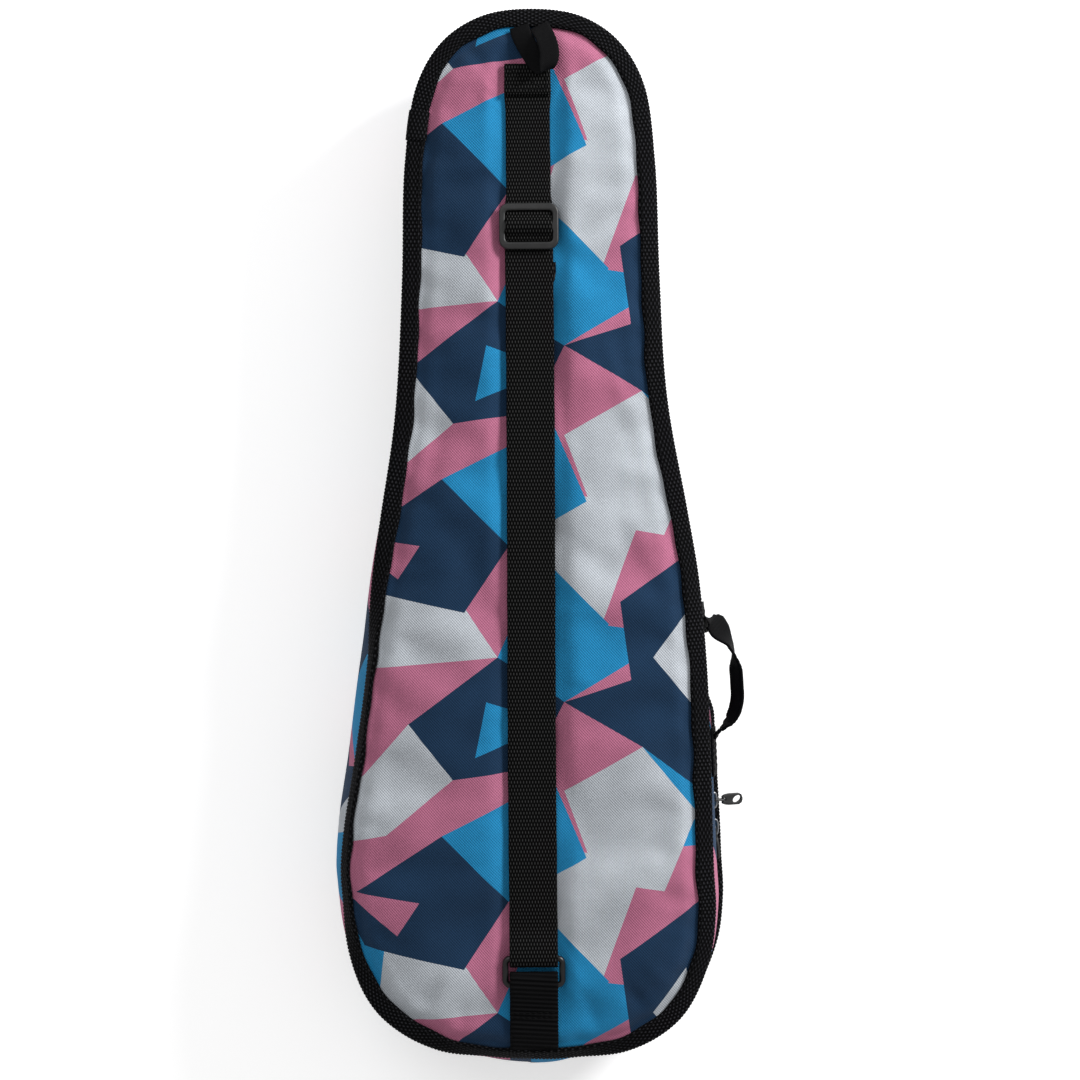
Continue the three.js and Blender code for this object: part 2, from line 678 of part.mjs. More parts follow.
function handlePatch(ends) {
  const points = ends.map((y) => offWall(y, HANDLE_PATCH.rise));
  return ribbon(points, handleFrame.up, () => HANDLE.half, HANDLE_PATCH.thick);
}

add("carry_handle", carryHandle(), webbing);
add("handle_end_upper", handlePatch(HANDLE_PATCHES[0]), webbing);
add("handle_end_lower", handlePatch(HANDLE_PATCHES[1]), webbing);

export default bag;
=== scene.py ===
"""A padded gig bag lying on its front panel, with its shoulder strap up.

Lengths in the shape code are millimetres, and each mesh is made in metres.
+Z is up and away from the front panel, +Y points to the head, +X to the carry handle.
"""

import json
import math

import bmesh
import bpy
import numpy as np
from mathutils import Matrix, Vector


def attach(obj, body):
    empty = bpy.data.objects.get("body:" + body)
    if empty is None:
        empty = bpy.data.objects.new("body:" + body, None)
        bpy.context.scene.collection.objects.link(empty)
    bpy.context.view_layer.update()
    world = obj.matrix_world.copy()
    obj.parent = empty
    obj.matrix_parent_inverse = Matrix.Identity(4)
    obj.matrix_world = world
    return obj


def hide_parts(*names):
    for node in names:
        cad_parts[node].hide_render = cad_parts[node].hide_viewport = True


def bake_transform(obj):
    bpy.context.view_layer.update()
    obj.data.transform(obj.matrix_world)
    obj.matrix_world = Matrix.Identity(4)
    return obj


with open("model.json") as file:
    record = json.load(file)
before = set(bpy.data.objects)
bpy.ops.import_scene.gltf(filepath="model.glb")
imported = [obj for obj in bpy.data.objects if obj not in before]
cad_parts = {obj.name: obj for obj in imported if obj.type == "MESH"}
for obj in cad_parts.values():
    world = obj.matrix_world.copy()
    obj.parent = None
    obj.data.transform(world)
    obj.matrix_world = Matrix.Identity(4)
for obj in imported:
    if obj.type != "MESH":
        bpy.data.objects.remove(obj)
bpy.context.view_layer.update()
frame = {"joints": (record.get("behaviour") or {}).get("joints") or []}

MM = 0.001

# ---- Driving sizes, mm ----

# Outer edge of the back binding, from the middle of the foot up the handle side and down the other.
OUTLINE = np.array([
    [0, -287.2], [25, -286], [54, -279.6], [82, -261], [96.5, -232], [100.2, -205],
    [99.1, -180], [96.9, -105], [95.6, -75], [91.3, -25], [84.3, 15], [73.5, 75], [69.5, 140],
    [67, 202.5], [60.5, 245.7], [46.4, 268.4], [26, 281.3], [0, 285], [-26, 281.3],
    [-47, 268.4], [-61, 245.7], [-68, 202.5], [-69.6, 140], [-73.5, 65], [-81.5, 8],
    [-91.3, -55], [-99.8, -122], [-105.6, -160], [-106.6, -190], [-100.8, -225], [-82.5, -259.5],
    [-52, -279.6], [-25, -285.8],
], float)
DEPTH = 74
FABRIC = 0.8
BACK_SEAM, FRONT_SEAM = 70, 4
CROWN, CROWN_INSET, SEAM_INSET = 3.05, 26, 11
WALL_ROOT = 10.5
PADDING = 6.2  # shell fabric and foam together
BINDING_WIDTH = 10
ZIP_Z = 21
TAPE_SHOWN = 6
TAPE_REACH = 8.7
HINGE_Y = (-25, -178)
STRAP_LEAN = 0.0068
STRAP_WIDTH, STRAP_NARROW, STRAP_PATCH = 26, 24, 25
WEB = 1.4
ADJUSTER_Y = 166
ADJUSTER = (32, 25, 2.6)
RING_Y, RING, RING_BAR, RING_LIFT = -235, (34, 17.5), 3.3, 3.7
SLIDERS = {"a": -150, "b": -164.5}
HANDLE_Z = 40
AXIS_RISE = 3.4  # of a pull's axis off the wall

# The front seam's outline against the back one, and how far the wall bows out between them.
FLARE, LEAN = 5.5, 3.5  # round the body: on all sides, and towards the handle
BULGE_NECK, BULGE_HANDLE, BULGE_FULL = 9.5, 10, 17.5
WAIST_LOW, WAIST_HIGH = 1.6, 4.9  # by which the front is held in on the handle side's waist
CORNER_PULL = 5.0  # by which the wall is held in round the lower left corner
LEFT_PULL = (2.9, 4.8)  # of the front seam and of the wall, on the left of the body
FOOT_PULL = (1.6, 3.4)  # the same at the foot
# Radians by which the back binding turns down: everywhere, then more on the left, foot and right.
TILT, TILT_LEFT, TILT_FOOT, TILT_RIGHT = 0.10, 0.95, 0.75, 0.12


def ease(start, end, value):
    """A smooth step from 0 to 1."""
    t = np.clip((value - start) / (end - start), 0, 1)
    return t * t * (3 - 2 * t)


def mix(a, b, share):
    return a + (b - a) * share


def unit(v):
    return v / np.maximum(np.linalg.norm(v, axis=-1, keepdims=True), 1e-12)


# ---- Outline ----

def outline_line(steps=60):
    """Points of the closed centripetal curve through OUTLINE."""
    count = len(OUTLINE)
    t = np.arange(steps)[:, None] / steps
    parts = []
    for i in range(count):
        p0, p1, p2, p3 = (OUTLINE[(i + k) % count] for k in (-1, 0, 1, 2))
        d0, d1, d2 = (np.linalg.norm(b - a) ** 0.5 for a, b in ((p0, p1), (p1, p2), (p2, p3)))
        m1 = ((p1 - p0) / d0 - (p2 - p0) / (d0 + d1) + (p2 - p1) / d1) * d1
        m2 = ((p2 - p1) / d1 - (p3 - p1) / (d1 + d2) + (p3 - p2) / d2) * d1
        parts.append(
            p1 * (2 * t**3 - 3 * t**2 + 1) + m1 * (t**3 - 2 * t**2 + t)
            + p2 * (3 * t**2 - 2 * t**3) + m2 * (t**3 - t**2)
        )
    return np.concatenate(parts + [OUTLINE[:1]])


LINE = outline_line()
ARC = np.concatenate([[0], np.cumsum(np.linalg.norm(np.diff(LINE, axis=0), axis=1))])
LENGTH = ARC[-1]
TANGENT = unit(np.roll(LINE[:-1], -1, 0) - np.roll(LINE[:-1], 1, 0))
TANGENT = np.concatenate([TANGENT, TANGENT[:1]])


class Run:
    """Stations round the outline, at distances from the middle of the foot."""

    def __init__(self, arc):
        self.arc = np.asarray(arc, float)
        at = self.arc % LENGTH
        self.point = np.stack([np.interp(at, ARC, LINE[:, k]) for k in (0, 1)], 1)
        self.along = unit(np.stack([np.interp(at, ARC, TANGENT[:, k]) for k in (0, 1)], 1))
        self.out = np.stack([self.along[:, 1], -self.along[:, 0]], 1)
        y = self.point[:, 1]
        body = ease(60, -60, y)
        x, out_x, out_y = self.point[:, 0], self.out[:, 0], self.out[:, 1]
        full = mix(BULGE_HANDLE, BULGE_FULL, ease(60, 10, x))
        waist = WAIST_LOW * ease(-175, -108, y) + WAIST_HIGH * ease(-103, -82, y)
        corner = np.clip(4.2 * (out_x * out_y) ** 2, 0, 1) ** 0.5
        corner = corner * ease(-170, -205, y) * ease(60, 10, x)
        left = ease(-20, -60, x)
        wide = left * ease(15, -60, y) * ease(-262, -190, y)
        turned = left * ease(0, -70, y) * ease(-262, -195, y)
        foot = ease(72, 22, np.abs(x)) * ease(-240, -262, y)
        self.front = body * (FLARE + LEAN * out_x - waist * ease(20, 60, x))
        self.front = self.front - LEFT_PULL[0] * wide - FOOT_PULL[0] * foot
        self.bulge = mix(BULGE_NECK, full, body) - CORNER_PULL * corner
        self.bulge = self.bulge - LEFT_PULL[1] * wide - FOOT_PULL[1] * foot
        self.tilt = TILT + TILT_LEFT * turned + TILT_FOOT * foot
        self.tilt = self.tilt + TILT_RIGHT * ease(0.3, 0.9, out_x) * body


def whole(count):
    """Even stations round the whole outline."""
    return Run(np.arange(count) * LENGTH / count)


def arc_at(y, right):
    """Distance along the outline where one side passes a height up the bag."""
    half = ARC < LENGTH / 2 if right else ARC >= LENGTH / 2
    near = np.where(half, np.abs(LINE[:, 1] - y), 1e9)
    return ARC[int(near.argmin())]


def wall(run, z):
    """Distance of the side wall's outer face from the outline."""
    t = (BACK_SEAM - np.asarray(z, float)) / (BACK_SEAM - FRONT_SEAM)
    return -WALL_ROOT + run.front[:, None] * t + run.bulge[:, None] * np.sin(np.pi * t) ** 2


def place(run, n, z):
    """Points a distance outside the outline, at heights: arrays of stations by columns."""
    n, z = np.broadcast_arrays(n, z)
    flat = run.point[:, None, :] + run.out[:, None, :] * n[..., None]
    return np.concatenate([flat, z[..., None]], -1)


def tilted(run, n, z):
    """The back seam's edge turned down about the foot of the binding."""
    n, z = np.broadcast_arrays(np.asarray(n, float), np.asarray(z, float))
    c, s = np.cos(run.tilt)[:, None], np.sin(run.tilt)[:, None]
    arm, rise = n + BINDING_WIDTH + 0.2, z - BACK_SEAM
    turned_n = -BINDING_WIDTH - 0.2 + arm * c + rise * s
    turned_z = BACK_SEAM - arm * s + rise * c
    share = ease(-1.0, 0.6, arm)
    return mix(n, turned_n, share), mix(z, turned_z, share)


# ---- Meshes ----

def grid(rows, cols, wrap_rows=False, wrap_cols=False):
    """Quads over a grid of points, and the row and column of each corner."""
    r, c = np.meshgrid(
        np.arange(rows if wrap_rows else rows - 1), np.arange(cols if wrap_cols else cols - 1),
        indexing="ij",
    )
    row = np.stack([r, r, r + 1, r + 1], -1).reshape(-1, 4)
    col = np.stack([c, c + 1, c + 1, c], -1).reshape(-1, 4)
    return (row % rows) * cols + col % cols, row, col


def make(name, points, faces, body, look, uv, merge=0.0):
    """A piece from points in mm. [uv] holds each face corner's place on its material, in metres."""
    mesh = bpy.data.meshes.new(name)
    mesh.from_pydata((np.asarray(points, float).reshape(-1, 3) * MM).tolist(), [], faces)
    layer = mesh.uv_layers.new(name="uv")
    layer.data.foreach_set("uv", np.asarray(uv, np.float32).ravel())
    bm = bmesh.new()
    bm.from_mesh(mesh)
    if merge:
        bmesh.ops.remove_doubles(bm, verts=bm.verts, dist=merge * MM)
    bmesh.ops.recalc_face_normals(bm, faces=bm.faces)
    bm.to_mesh(mesh)
    bm.free()
    mesh.polygons.foreach_set("use_smooth", [True] * len(mesh.polygons))
    return finished(bpy.data.objects.new(name, mesh), body, look)


def finished(piece, body, look):
    """Links a piece, and gives it its material and the body it rides on."""
    bpy.context.scene.collection.objects.link(piece)
    piece.data.materials.clear()
    piece.data.materials.append(look)
    if body:
        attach(piece, body)
    return piece


def swept(name, points, body, look, loop=False, u=None, v=None):
    """A closed skin over rows of points, capped at both ends or joined into a loop."""
    rows, cols = points.shape[:2]
    faces, row, col = grid(rows, cols, loop, True)
    if u is None:
        step = np.linalg.norm(np.diff(points.mean(1), axis=0), axis=1)
        u = np.concatenate([[0], np.cumsum(step)])
    if v is None:
        step = np.linalg.norm(np.diff(points[rows // 2], axis=0), axis=1)
        v = np.concatenate([[0], np.cumsum(step)])
    u = np.append(u, u[-1] + (u[1] - u[0]))
    v = np.append(v, v[-1] + (v[-1] - v[-2]))
    uv = np.stack([u[row], v[col]], -1) * MM
    faces = faces.tolist()
    if not loop:
        last = (rows - 1) * cols
        faces += [list(range(cols))[::-1], list(range(last, last + cols))]
        uv = np.concatenate([uv.reshape(-1, 2), np.tile([[u[0] * MM, 0]], (2 * cols, 1))])
    return make(name, points, faces, body, look, uv)


def band(name, run, n, z, body, look, loop=True, v=None):
    """A band round the bag, or along part of it, from columns of distance and height."""
    n = np.broadcast_to(n, (len(run.arc), np.shape(n)[-1]))
    z = np.broadcast_to(z, n.shape)
    return swept(name, place(run, n, z), body, look, loop, run.arc, v)


def flat_section(width, thick, across=7):
    """Half across and half up of a strip with rounded edges, per point round it."""
    edge = thick * 0.45
    x = np.linspace(-width / 2 + edge, width / 2 - edge, across)
    top = [(a, thick / 2) for a in x]
    turn = width / 2 - edge * 0.3
    right = [(turn, thick * 0.36), (width / 2, 0), (turn, -thick * 0.36)]
    return np.array(top + right + [(-a, -b) for a, b in top + right])


def strip(name, path, wide, width, thick, body, look, across=7):
    """Webbing along a path, [wide] giving the direction of its width at each point."""
    path, wide = np.asarray(path, float), np.broadcast_to(wide, np.shape(path))
    width = np.broadcast_to(width, len(path))
    along = unit(np.gradient(path, axis=0))
    face = unit(np.cross(wide, along))
    wide = unit(np.cross(along, face))
    rows = []
    for p, w, f, size in zip(path, wide, face, width):
        section = flat_section(size, thick, across)
        rows.append(p + section[:, :1] * w + section[:, 1:] * f)
    step = np.linalg.norm(np.diff(path, axis=0), axis=1)
    section = flat_section(float(width.mean()), thick, across)
    girth = np.concatenate([[0], np.cumsum(np.linalg.norm(np.diff(section, axis=0), axis=1))])
    return swept(name, np.array(rows), body, look,
                 u=np.concatenate([[0], np.cumsum(step)]), v=girth)


def respaced(points, step):
    """A line cut into equal steps."""
    arc = np.concatenate([[0], np.cumsum(np.linalg.norm(np.diff(points, axis=0), axis=1))])
    at = np.linspace(0, arc[-1], max(3, int(round(arc[-1] / step)) + 1))
    return np.stack([np.interp(at, arc, points[:, k]) for k in range(points.shape[1])], 1)


def wobble(a, b, seed=0.0):
    """Gentle unevenness from -1 to 1 over two coordinates in mm."""
    return (
        np.sin(a / 23 + 1.3 * np.sin(b / 31 + seed) + seed)
        + np.sin(b / 17 + 1.1 * np.sin(a / 41 - seed) + 2.1 * seed)
        + 0.6 * np.sin((a + b) / 11 + np.sin(a / 19 - b / 13) + 3.7 * seed)
    ) / 2.6


# ---- Materials ----

def linear(*rgb):
    """A display colour from 0 to 255 as a linear one."""
    return tuple(((c / 255 + 0.055) / 1.055) ** 2.4 if c > 10 else c / 255 / 12.92 for c in rgb) + (1,)


class Look:
    """A material's nodes."""

    def __init__(self, name, roughness=0.8, **settings):
        self.material = bpy.data.materials.new(name)
        self.material.use_nodes = True
        self.tree = self.material.node_tree
        self.shader = self.tree.nodes["Principled BSDF"]
        for key, value in {"Roughness": roughness, "Specular IOR Level": 0.04, **settings}.items():
            self.shader.inputs[key].default_value = value
        self.uv = self.node("UVMap", uv_map="uv")
        self.u, self.v = (self.node("SeparateXYZ", {0: self.uv}, out=k) for k in (0, 1))

    def node(self, kind, inputs=None, out=0, **settings):
        made = self.tree.nodes.new("ShaderNode" + kind)
        for key, value in settings.items():
            setattr(made, key, value)
        for key, value in (inputs or {}).items():
            if isinstance(value, bpy.types.NodeSocket):
                self.tree.links.new(value, made.inputs[key])
            else:
                made.inputs[key].default_value = value
        return made.outputs[out]

    def math(self, operation, *values):
        return self.node("Math", dict(enumerate(values)), operation=operation)

    def wave(self, along, pitch, shift=0.0):
        """A sine over a distance in mm."""
        turn = self.math("MULTIPLY_ADD", along, 2 * math.pi / (pitch * MM), shift)
        return self.math("SINE", turn)

    def noise(self, scale, detail=2.0, stretch=(1, 1, 1)):
        """Noise of a grain size in mm."""
        at = self.node("VectorMath", {0: self.uv, 1: tuple(s / (scale * MM) for s in stretch)},
                       operation="MULTIPLY")
        return self.node("TexNoise", {"Vector": at, "Scale": 1.0, "Detail": detail})

    def blend(self, share, a, b):
        return self.node("Mix", {0: share, 6: a, 7: b}, out=2, data_type="RGBA")

    def finish(self, colour=None, height=None, depth=0.0, roughness=None):
        """Links colour, a relief in mm and roughness to the shader."""
        for key, value in (("Base Color", colour), ("Roughness", roughness)):
            if value is not None:
                self.tree.links.new(value, self.shader.inputs[key])
        if height is not None:
            bump = self.node("Bump", {"Height": height, "Distance": depth * MM, "Strength": 1.0})
            self.tree.links.new(bump, self.shader.inputs["Normal"])
        return self.material


PINK, GREY, BLUE, NAVY = (linear(*c) for c in
                          ((166, 99, 125), (169, 174, 180), (32, 120, 166), (25, 48, 73)))
GRID = 6.0  # mm per unit of the print's drawing
TILE = (36, 32)  # its repeat, in those units
# Corners of the print's flat shapes in those units, back ones first.
PRINT = [
    (BLUE, [(-18, 14), (-14, 20), (-13, 28), (-18, 29)]),
    (BLUE, [(18, 14), (14, 12), (12, 19), (18, 29)]),
    (GREY, [(-14, 20), (-3, 21), (-7, 27), (-13, 28)]),
    (GREY, [(-18, 7), (-11, 15), (-7, 10), (-13, 5), (-18, 4)]),
    (BLUE, [(10, 13), (18, 16), (18, 4), (11, 4)]),
    (GREY, [(6, 1), (3, 9), (10, 13), (15, 7), (12, 0)]),
    (GREY, [(1, 30), (6, 23), (10, 34), (3, 36)]),
    (GREY, [(1, -2), (6, -9), (10, 2), (3, 4)]),
    (BLUE, [(-8, 5), (2, 10), (5, 3), (-2, -1)]),
    (BLUE, [(-8, 37), (2, 42), (5, 35), (-2, 31)]),
    (BLUE, [(3, 17), (-3, 21), (1, 30), (7, 24)]),
    (BLUE, [(3, 17), (6, 24), (13, 23)]),
    (NAVY, [(-17, -1), (-8, 5), (-2, -1), (-6, -7), (-15, -5)]),
    (NAVY, [(-17, 31), (-8, 37), (-2, 31), (-6, 25), (-15, 27)]),
    (NAVY, [(-7, 10), (-11, 15), (-3, 21), (3, 17), (0, 11)]),
    (NAVY, [(10, 13), (18, 7), (14, 22), (9, 19)]),
    (NAVY, [(8, 26), (18, 33), (18, 23), (9, 19)]),
    (NAVY, [(9, 19), (3, 17), (10, 13)]),
    (PINK, [(-17, 32), (-10, 31), (-12, 28)]),
    (PINK, [(-17, 0), (-10, -1), (-12, -4)]),
    (BLUE, [(-5, 12), (2, 15), (-4, 17)]),
    (GREY, [(11, 21), (14, 25), (16, 15)]),
]


def print_colour(look):
    """The print: each flat shape is where all of its edges have the point on their inner side."""
    x = look.math("WRAP", look.math("DIVIDE", look.u, GRID * MM), TILE[0] / 2, -TILE[0] / 2)
    y = look.math("WRAP", look.math("DIVIDE", look.v, GRID * MM), TILE[1], 0)
    here = look.node("CombineXYZ", {0: x, 1: y, 2: 1.0})
    colour = look.node("RGB")
    colour.default_value = PINK
    for ink, corners in PRINT:
        inside = None
        centre = np.mean(corners, axis=0)
        for a, b in zip(corners, corners[1:] + corners[:1]):
            normal = np.array([a[1] - b[1], b[0] - a[0]]) / math.dist(a, b)
            normal *= np.sign(normal @ (centre - a))
            plane = (float(normal[0]), float(normal[1]), float(-normal @ a))
            side = look.node("VectorMath", {0: here, 1: plane}, out=1, operation="DOT_PRODUCT")
            inside = side if inside is None else look.math("MINIMUM", inside, side)
        colour = look.blend(look.math("GREATER_THAN", inside, 0.0), colour, ink)
    return colour


def printed_look():
    look = Look("printed_oxford", 0.8, **{"Sheen Weight": 0.08, "Sheen Roughness": 0.5})
    weave = look.math("MULTIPLY", look.wave(look.u, 1.5), look.wave(look.v, 1.6))
    yarn = look.math("MULTIPLY_ADD", look.noise(0.6, 1.0, (1, 0.3, 1)), 0.6, weave)
    # Painted shade: broad random patches of lighter and darker colour, about 26 mm across, standing in for
    # the shading of soft folds.
    painted_shade_patches = look.math("MULTIPLY_ADD", look.noise(26), 0.5, 0.72)
    shade = look.math("MULTIPLY_ADD", weave, 0.22, painted_shade_patches)
    fine = look.noise(0.8, 1.0, (1, 0.4, 1))
    shade = look.math("MULTIPLY_ADD", fine, 0.24, look.math("SUBTRACT", shade, 0.1))
    grey = look.node("CombineXYZ", {0: shade, 1: shade, 2: shade})
    colour = look.node("VectorMath", {0: print_colour(look), 1: grey}, operation="MULTIPLY")
    return look.finish(colour, yarn, 0.15)


def woven_look(name, colour, rows, yarns, depth, roughness=0.75, bright=5.0, **settings):
    """Dark weave: raised yarns every [yarns] mm, in staggered rows every [rows] mm, with a painted
    highlight on each yarn's crown, [bright] times the colour.
    """
    look = Look(name, roughness, **settings)
    dots = look.math("MULTIPLY", look.wave(look.u, 2 * rows), look.wave(look.v, yarns))
    fibre = look.noise(0.35, 2.0)
    height = look.math("MULTIPLY_ADD", fibre, 0.35, dots)
    # Painted highlight: the colour turns lighter on the crowns of the weave's dots, where light would catch
    # the raised yarns.
    share = look.math("MAXIMUM", look.math("MULTIPLY_ADD", dots, 1.25, -0.25), 0.0)
    share = look.math("MULTIPLY", share, look.math("MULTIPLY_ADD", fibre, 1.0, 0.4))
    # The painted highlight's colour, lighter than the dark yarn.
    painted_yarn_highlight = tuple(min(1, c * bright + 0.008) for c in colour[:3]) + (1,)
    return look.finish(look.blend(share, colour, painted_yarn_highlight), height, depth)


def rib_look(name, colour, pitch, slant, depth, roughness=0.7):
    """Fine ribs across a tape, with lighter flecks of yarn, lighter still on the ribs' crests as a painted
    highlight.
    """
    look = Look(name, roughness)
    across = look.math("MULTIPLY_ADD", look.v, slant, look.u)
    ribs = look.wave(across, pitch)
    yarn = look.math("MULTIPLY_ADD", look.noise(0.4, 2.0), 0.5, ribs)
    bright = tuple(c * 2.2 + 0.004 for c in colour[:3]) + (1,)
    # Lighter colour: random yarn flecks, which are the tape's own, made strongest on the rib crests, where
    # it is painted highlight.
    share = look.math("MULTIPLY", look.noise(0.7, 2.0), look.math("MULTIPLY_ADD", ribs, 0.4, 0.5))
    return look.finish(look.blend(share, colour, bright), yarn, depth)


def hard_look(name, colour, roughness, grain, depth, metallic=0.0):
    """Moulded plastic or enamelled metal with a fine grain and worn patches."""
    look = Look(name, roughness, Metallic=metallic, **{"Specular IOR Level": 0.5})
    worn = look.noise(6.0, 3.0)
    rough = look.math("MULTIPLY_ADD", worn, 0.16, roughness - 0.08)
    bright = tuple(min(1, c * 1.5 + 0.01) for c in colour[:3]) + (1,)
    share = look.math("MULTIPLY", worn, 0.6)
    return look.finish(look.blend(share, colour, bright), look.noise(grain, 3.0), depth, rough)


PRINTED = printed_look()
BINDING = woven_look("binding_tape_weave", linear(5, 5, 6), 2.06, 2.1, 0.2, 0.72, 14.0)
SMOOTH_TAPE = rib_look("smooth_tape", linear(7, 7, 8), 0.8, 0.6, 0.03)
WEBBING = woven_look("strap_webbing", linear(3, 3, 3), 2.08, 1.62, 0.2, 0.75, 42.0)
DARK_WEBBING = rib_look("tab_webbing", linear(6, 6, 7), 2.5, 0.06, 0.3)
HANDLE_WEB = rib_look("handle_webbing", linear(3, 3, 4), 1.0, 0.7, 0.06)
LINING = woven_look("lining_nylon", linear(40, 42, 47), 0.5, 0.9, 0.03, 0.6, 2.0)
ZIP_TAPE = rib_look("zip_tape_weave", linear(10, 10, 11), 0.9, 0.5, 0.05)
COIL = hard_look("coil_nylon", linear(16, 16, 18), 0.42, 0.3, 0.01)
PLASTIC = hard_look("moulded_plastic", linear(8, 8, 9), 0.45, 0.25, 0.012)
PULL_LOOK = hard_look("pull_rubber", linear(3, 3, 3), 0.6, 0.3, 0.015)
SLIDER_METAL = hard_look("slider_casting", linear(118, 120, 124), 0.34, 0.4, 0.008, 0.85)
RING_METAL = hard_look("ring_enamel", linear(9, 9, 10), 0.32, 0.5, 0.008, 0.2)
THREAD = rib_look("thread", linear(14, 14, 15), 0.35, 1.5, 0.03)


# ---- Camera and light ----

def camera():
    """Straight down on the back of the bag."""
    data = bpy.data.cameras.new("camera")
    data.sensor_width = 36
    distance, seen = 1.2, 0.583
    data.lens = data.sensor_width * distance / seen
    data.clip_start, data.clip_end = 0.05, 20
    made = bpy.data.objects.new("camera", data)
    made.location = (0.0049, -0.0027, DEPTH * MM + distance)
    bpy.context.scene.collection.objects.link(made)
    bpy.context.scene.camera = made


def area_light(name, at, size, power, towards=(0, 0, 0)):
    data = bpy.data.lights.new(name, "AREA")
    data.shape, data.size, data.energy = "DISK", size, power
    made = bpy.data.objects.new(name, data)
    made.location = at
    made.rotation_mode = "QUATERNION"
    made.rotation_quaternion = (Vector(towards) - Vector(at)).to_track_quat("-Z", "Y")
    bpy.context.scene.collection.objects.link(made)


def studio():
    world = bpy.data.worlds.new("studio")
    bpy.context.scene.world = world
    world.use_nodes = True
    background = world.node_tree.nodes["Background"]
    background.inputs[0].default_value = (1, 1, 1, 1)
    background.inputs[1].default_value = 0.5
    bpy.context.scene.view_settings.view_transform = "Standard"
    area_light("key", (1.15, 0.8, 0.68), 0.5, 30)
    area_light("fill", (-0.6, 0.9, 1.3), 1.2, 6)
    mesh = bpy.data.meshes.new("floor")
    side = 3.0
    mesh.from_pydata([(-side, -side, 0), (side, -side, 0), (side, side, 0), (-side, side, 0)],
                     [], [(0, 1, 2, 3)])
    floor = bpy.data.objects.new("floor", mesh)
    floor.location.z = -0.0004
    bpy.context.scene.collection.objects.link(floor)
    look = bpy.data.materials.new("pale_floor")
    look.use_nodes = True
    shader = look.node_tree.nodes["Principled BSDF"]
    shader.inputs["Base Color"].default_value = (0.93, 0.93, 0.93, 1)
    shader.inputs["Roughness"].default_value = 0.9
    shader.inputs["Emission Color"].default_value = (1, 1, 1, 1)
    shader.inputs["Emission Strength"].default_value = 0.4
    mesh.materials.append(look)


camera()
studio()


# ---- Padded panels ----

# Soft folds: middle x and y, direction in degrees, length, width and depth in mm (up is positive).
BACK_FOLDS = [
    (56, 78, 118, 46, 5.5, -1.3), (49, 84, 122, 52, 7, 0.9), (62, 62, 108, 34, 4, -0.9),
    (-80, -38, 60, 36, 5, -1.2), (-74, -46, 52, 40, 6, 0.8), (-70, -26, 78, 30, 4.5, -0.7),
    (-88, -86, 20, 26, 5, -0.8), (-60, -254, 48, 34, 5, -1.2), (-52, -260, 60, 30, 5, 0.7),
    (-38, -266, 78, 26, 4, -0.8), (34, -262, 105, 28, 4.5, -0.9), (58, -252, 128, 34, 5, -1.1),
    (70, -238, 142, 30, 5, 0.7), (84, -150, 175, 24, 5, -0.8), (86, -198, 165, 26, 4.5, -0.7),
    (-54, 40, 70, 40, 6, -0.7), (52, -6, 112, 44, 6, -0.8), (78, -60, 160, 26, 5, -0.7),
    (-48, 232, 130, 26, 5, -0.6), (42, 238, 50, 26, 5, -0.6), (-56, 150, 82, 40, 5, -0.5),
    (54, 158, 98, 44, 5, -0.5), (-30, 262, 110, 18, 4, -0.5), (-82, -216, 160, 24, 5, -0.7),
    (22, 60, 92, 90, 6, -0.4), (-22, -60, 88, 110, 6, -0.5), (24, -150, 94, 90, 6, -0.4),
]


def folds(x, y, table):
    height = np.zeros_like(x)
    for cx, cy, turn, length, width, depth in table:
        c, s = math.cos(math.radians(turn)), math.sin(math.radians(turn))
        along, across = (x - cx) * c + (y - cy) * s, (y - cy) * c - (x - cx) * s
        across = across + 0.006 * along**2 * (1 if cx > 0 else -1)
        height += depth * np.exp(-(along / length * 2) ** 2 - (across / width) ** 2)
    return height


class Panel:
    """A panel's grid: columns from its edge in to its middle line, for every station."""

    RINGS = (1.5, 4, 7, 9.5, 10.6, 11.6, 13, 15, 17.5, 20.5, 23.5, 26)
    BOUND = 4  # of those, inside the binding
    MIDDLE = (-206, 228)  # ends of its middle line, up the bag

    def __init__(self, front, stations=640, steps=24, inset=0.0):
        run = whole(stations)
        edge = run.front if front else np.zeros(stations)
        rings = [r for r in self.RINGS if r >= inset]
        n = np.array(rings)[None, :] * np.ones((stations, 1))
        xy = run.point[:, None] + run.out[:, None] * (edge[:, None] - n)[..., None]
        inner = xy[:, -1]
        middle = (inner + np.roll(inner[::-1], 1, 0)) / 2
        low, high = self.MIDDLE
        share = np.clip((middle[:, 1] - inner[:, 1].min()) / np.ptp(inner[:, 1]), 0, 1)
        middle[:, 1] = mix(low, high, 0.04 * share + 0.96 * ease(-0.08, 1.08, share))
        t = (np.arange(1, steps + 1) / steps)[None, :, None]
        inside = mix(inner[:, None], middle[:, None], t)
        reach = np.linalg.norm(middle - inner, axis=1)[:, None] * t[..., 0]
        self.run = run
        self.xy = np.concatenate([xy, inside], 1)
        self.n = np.concatenate([n, CROWN_INSET + reach], 1)
        self.x, self.y = self.xy[..., 0], self.xy[..., 1]


FULLNESS = 3.4  # by which the padding swells beside the strap
CREASE, UNEVEN = 1.7, 0.7  # how strong the folds are, and how high the gentle unevenness


def strap_middle(y):
    return -STRAP_LEAN * y


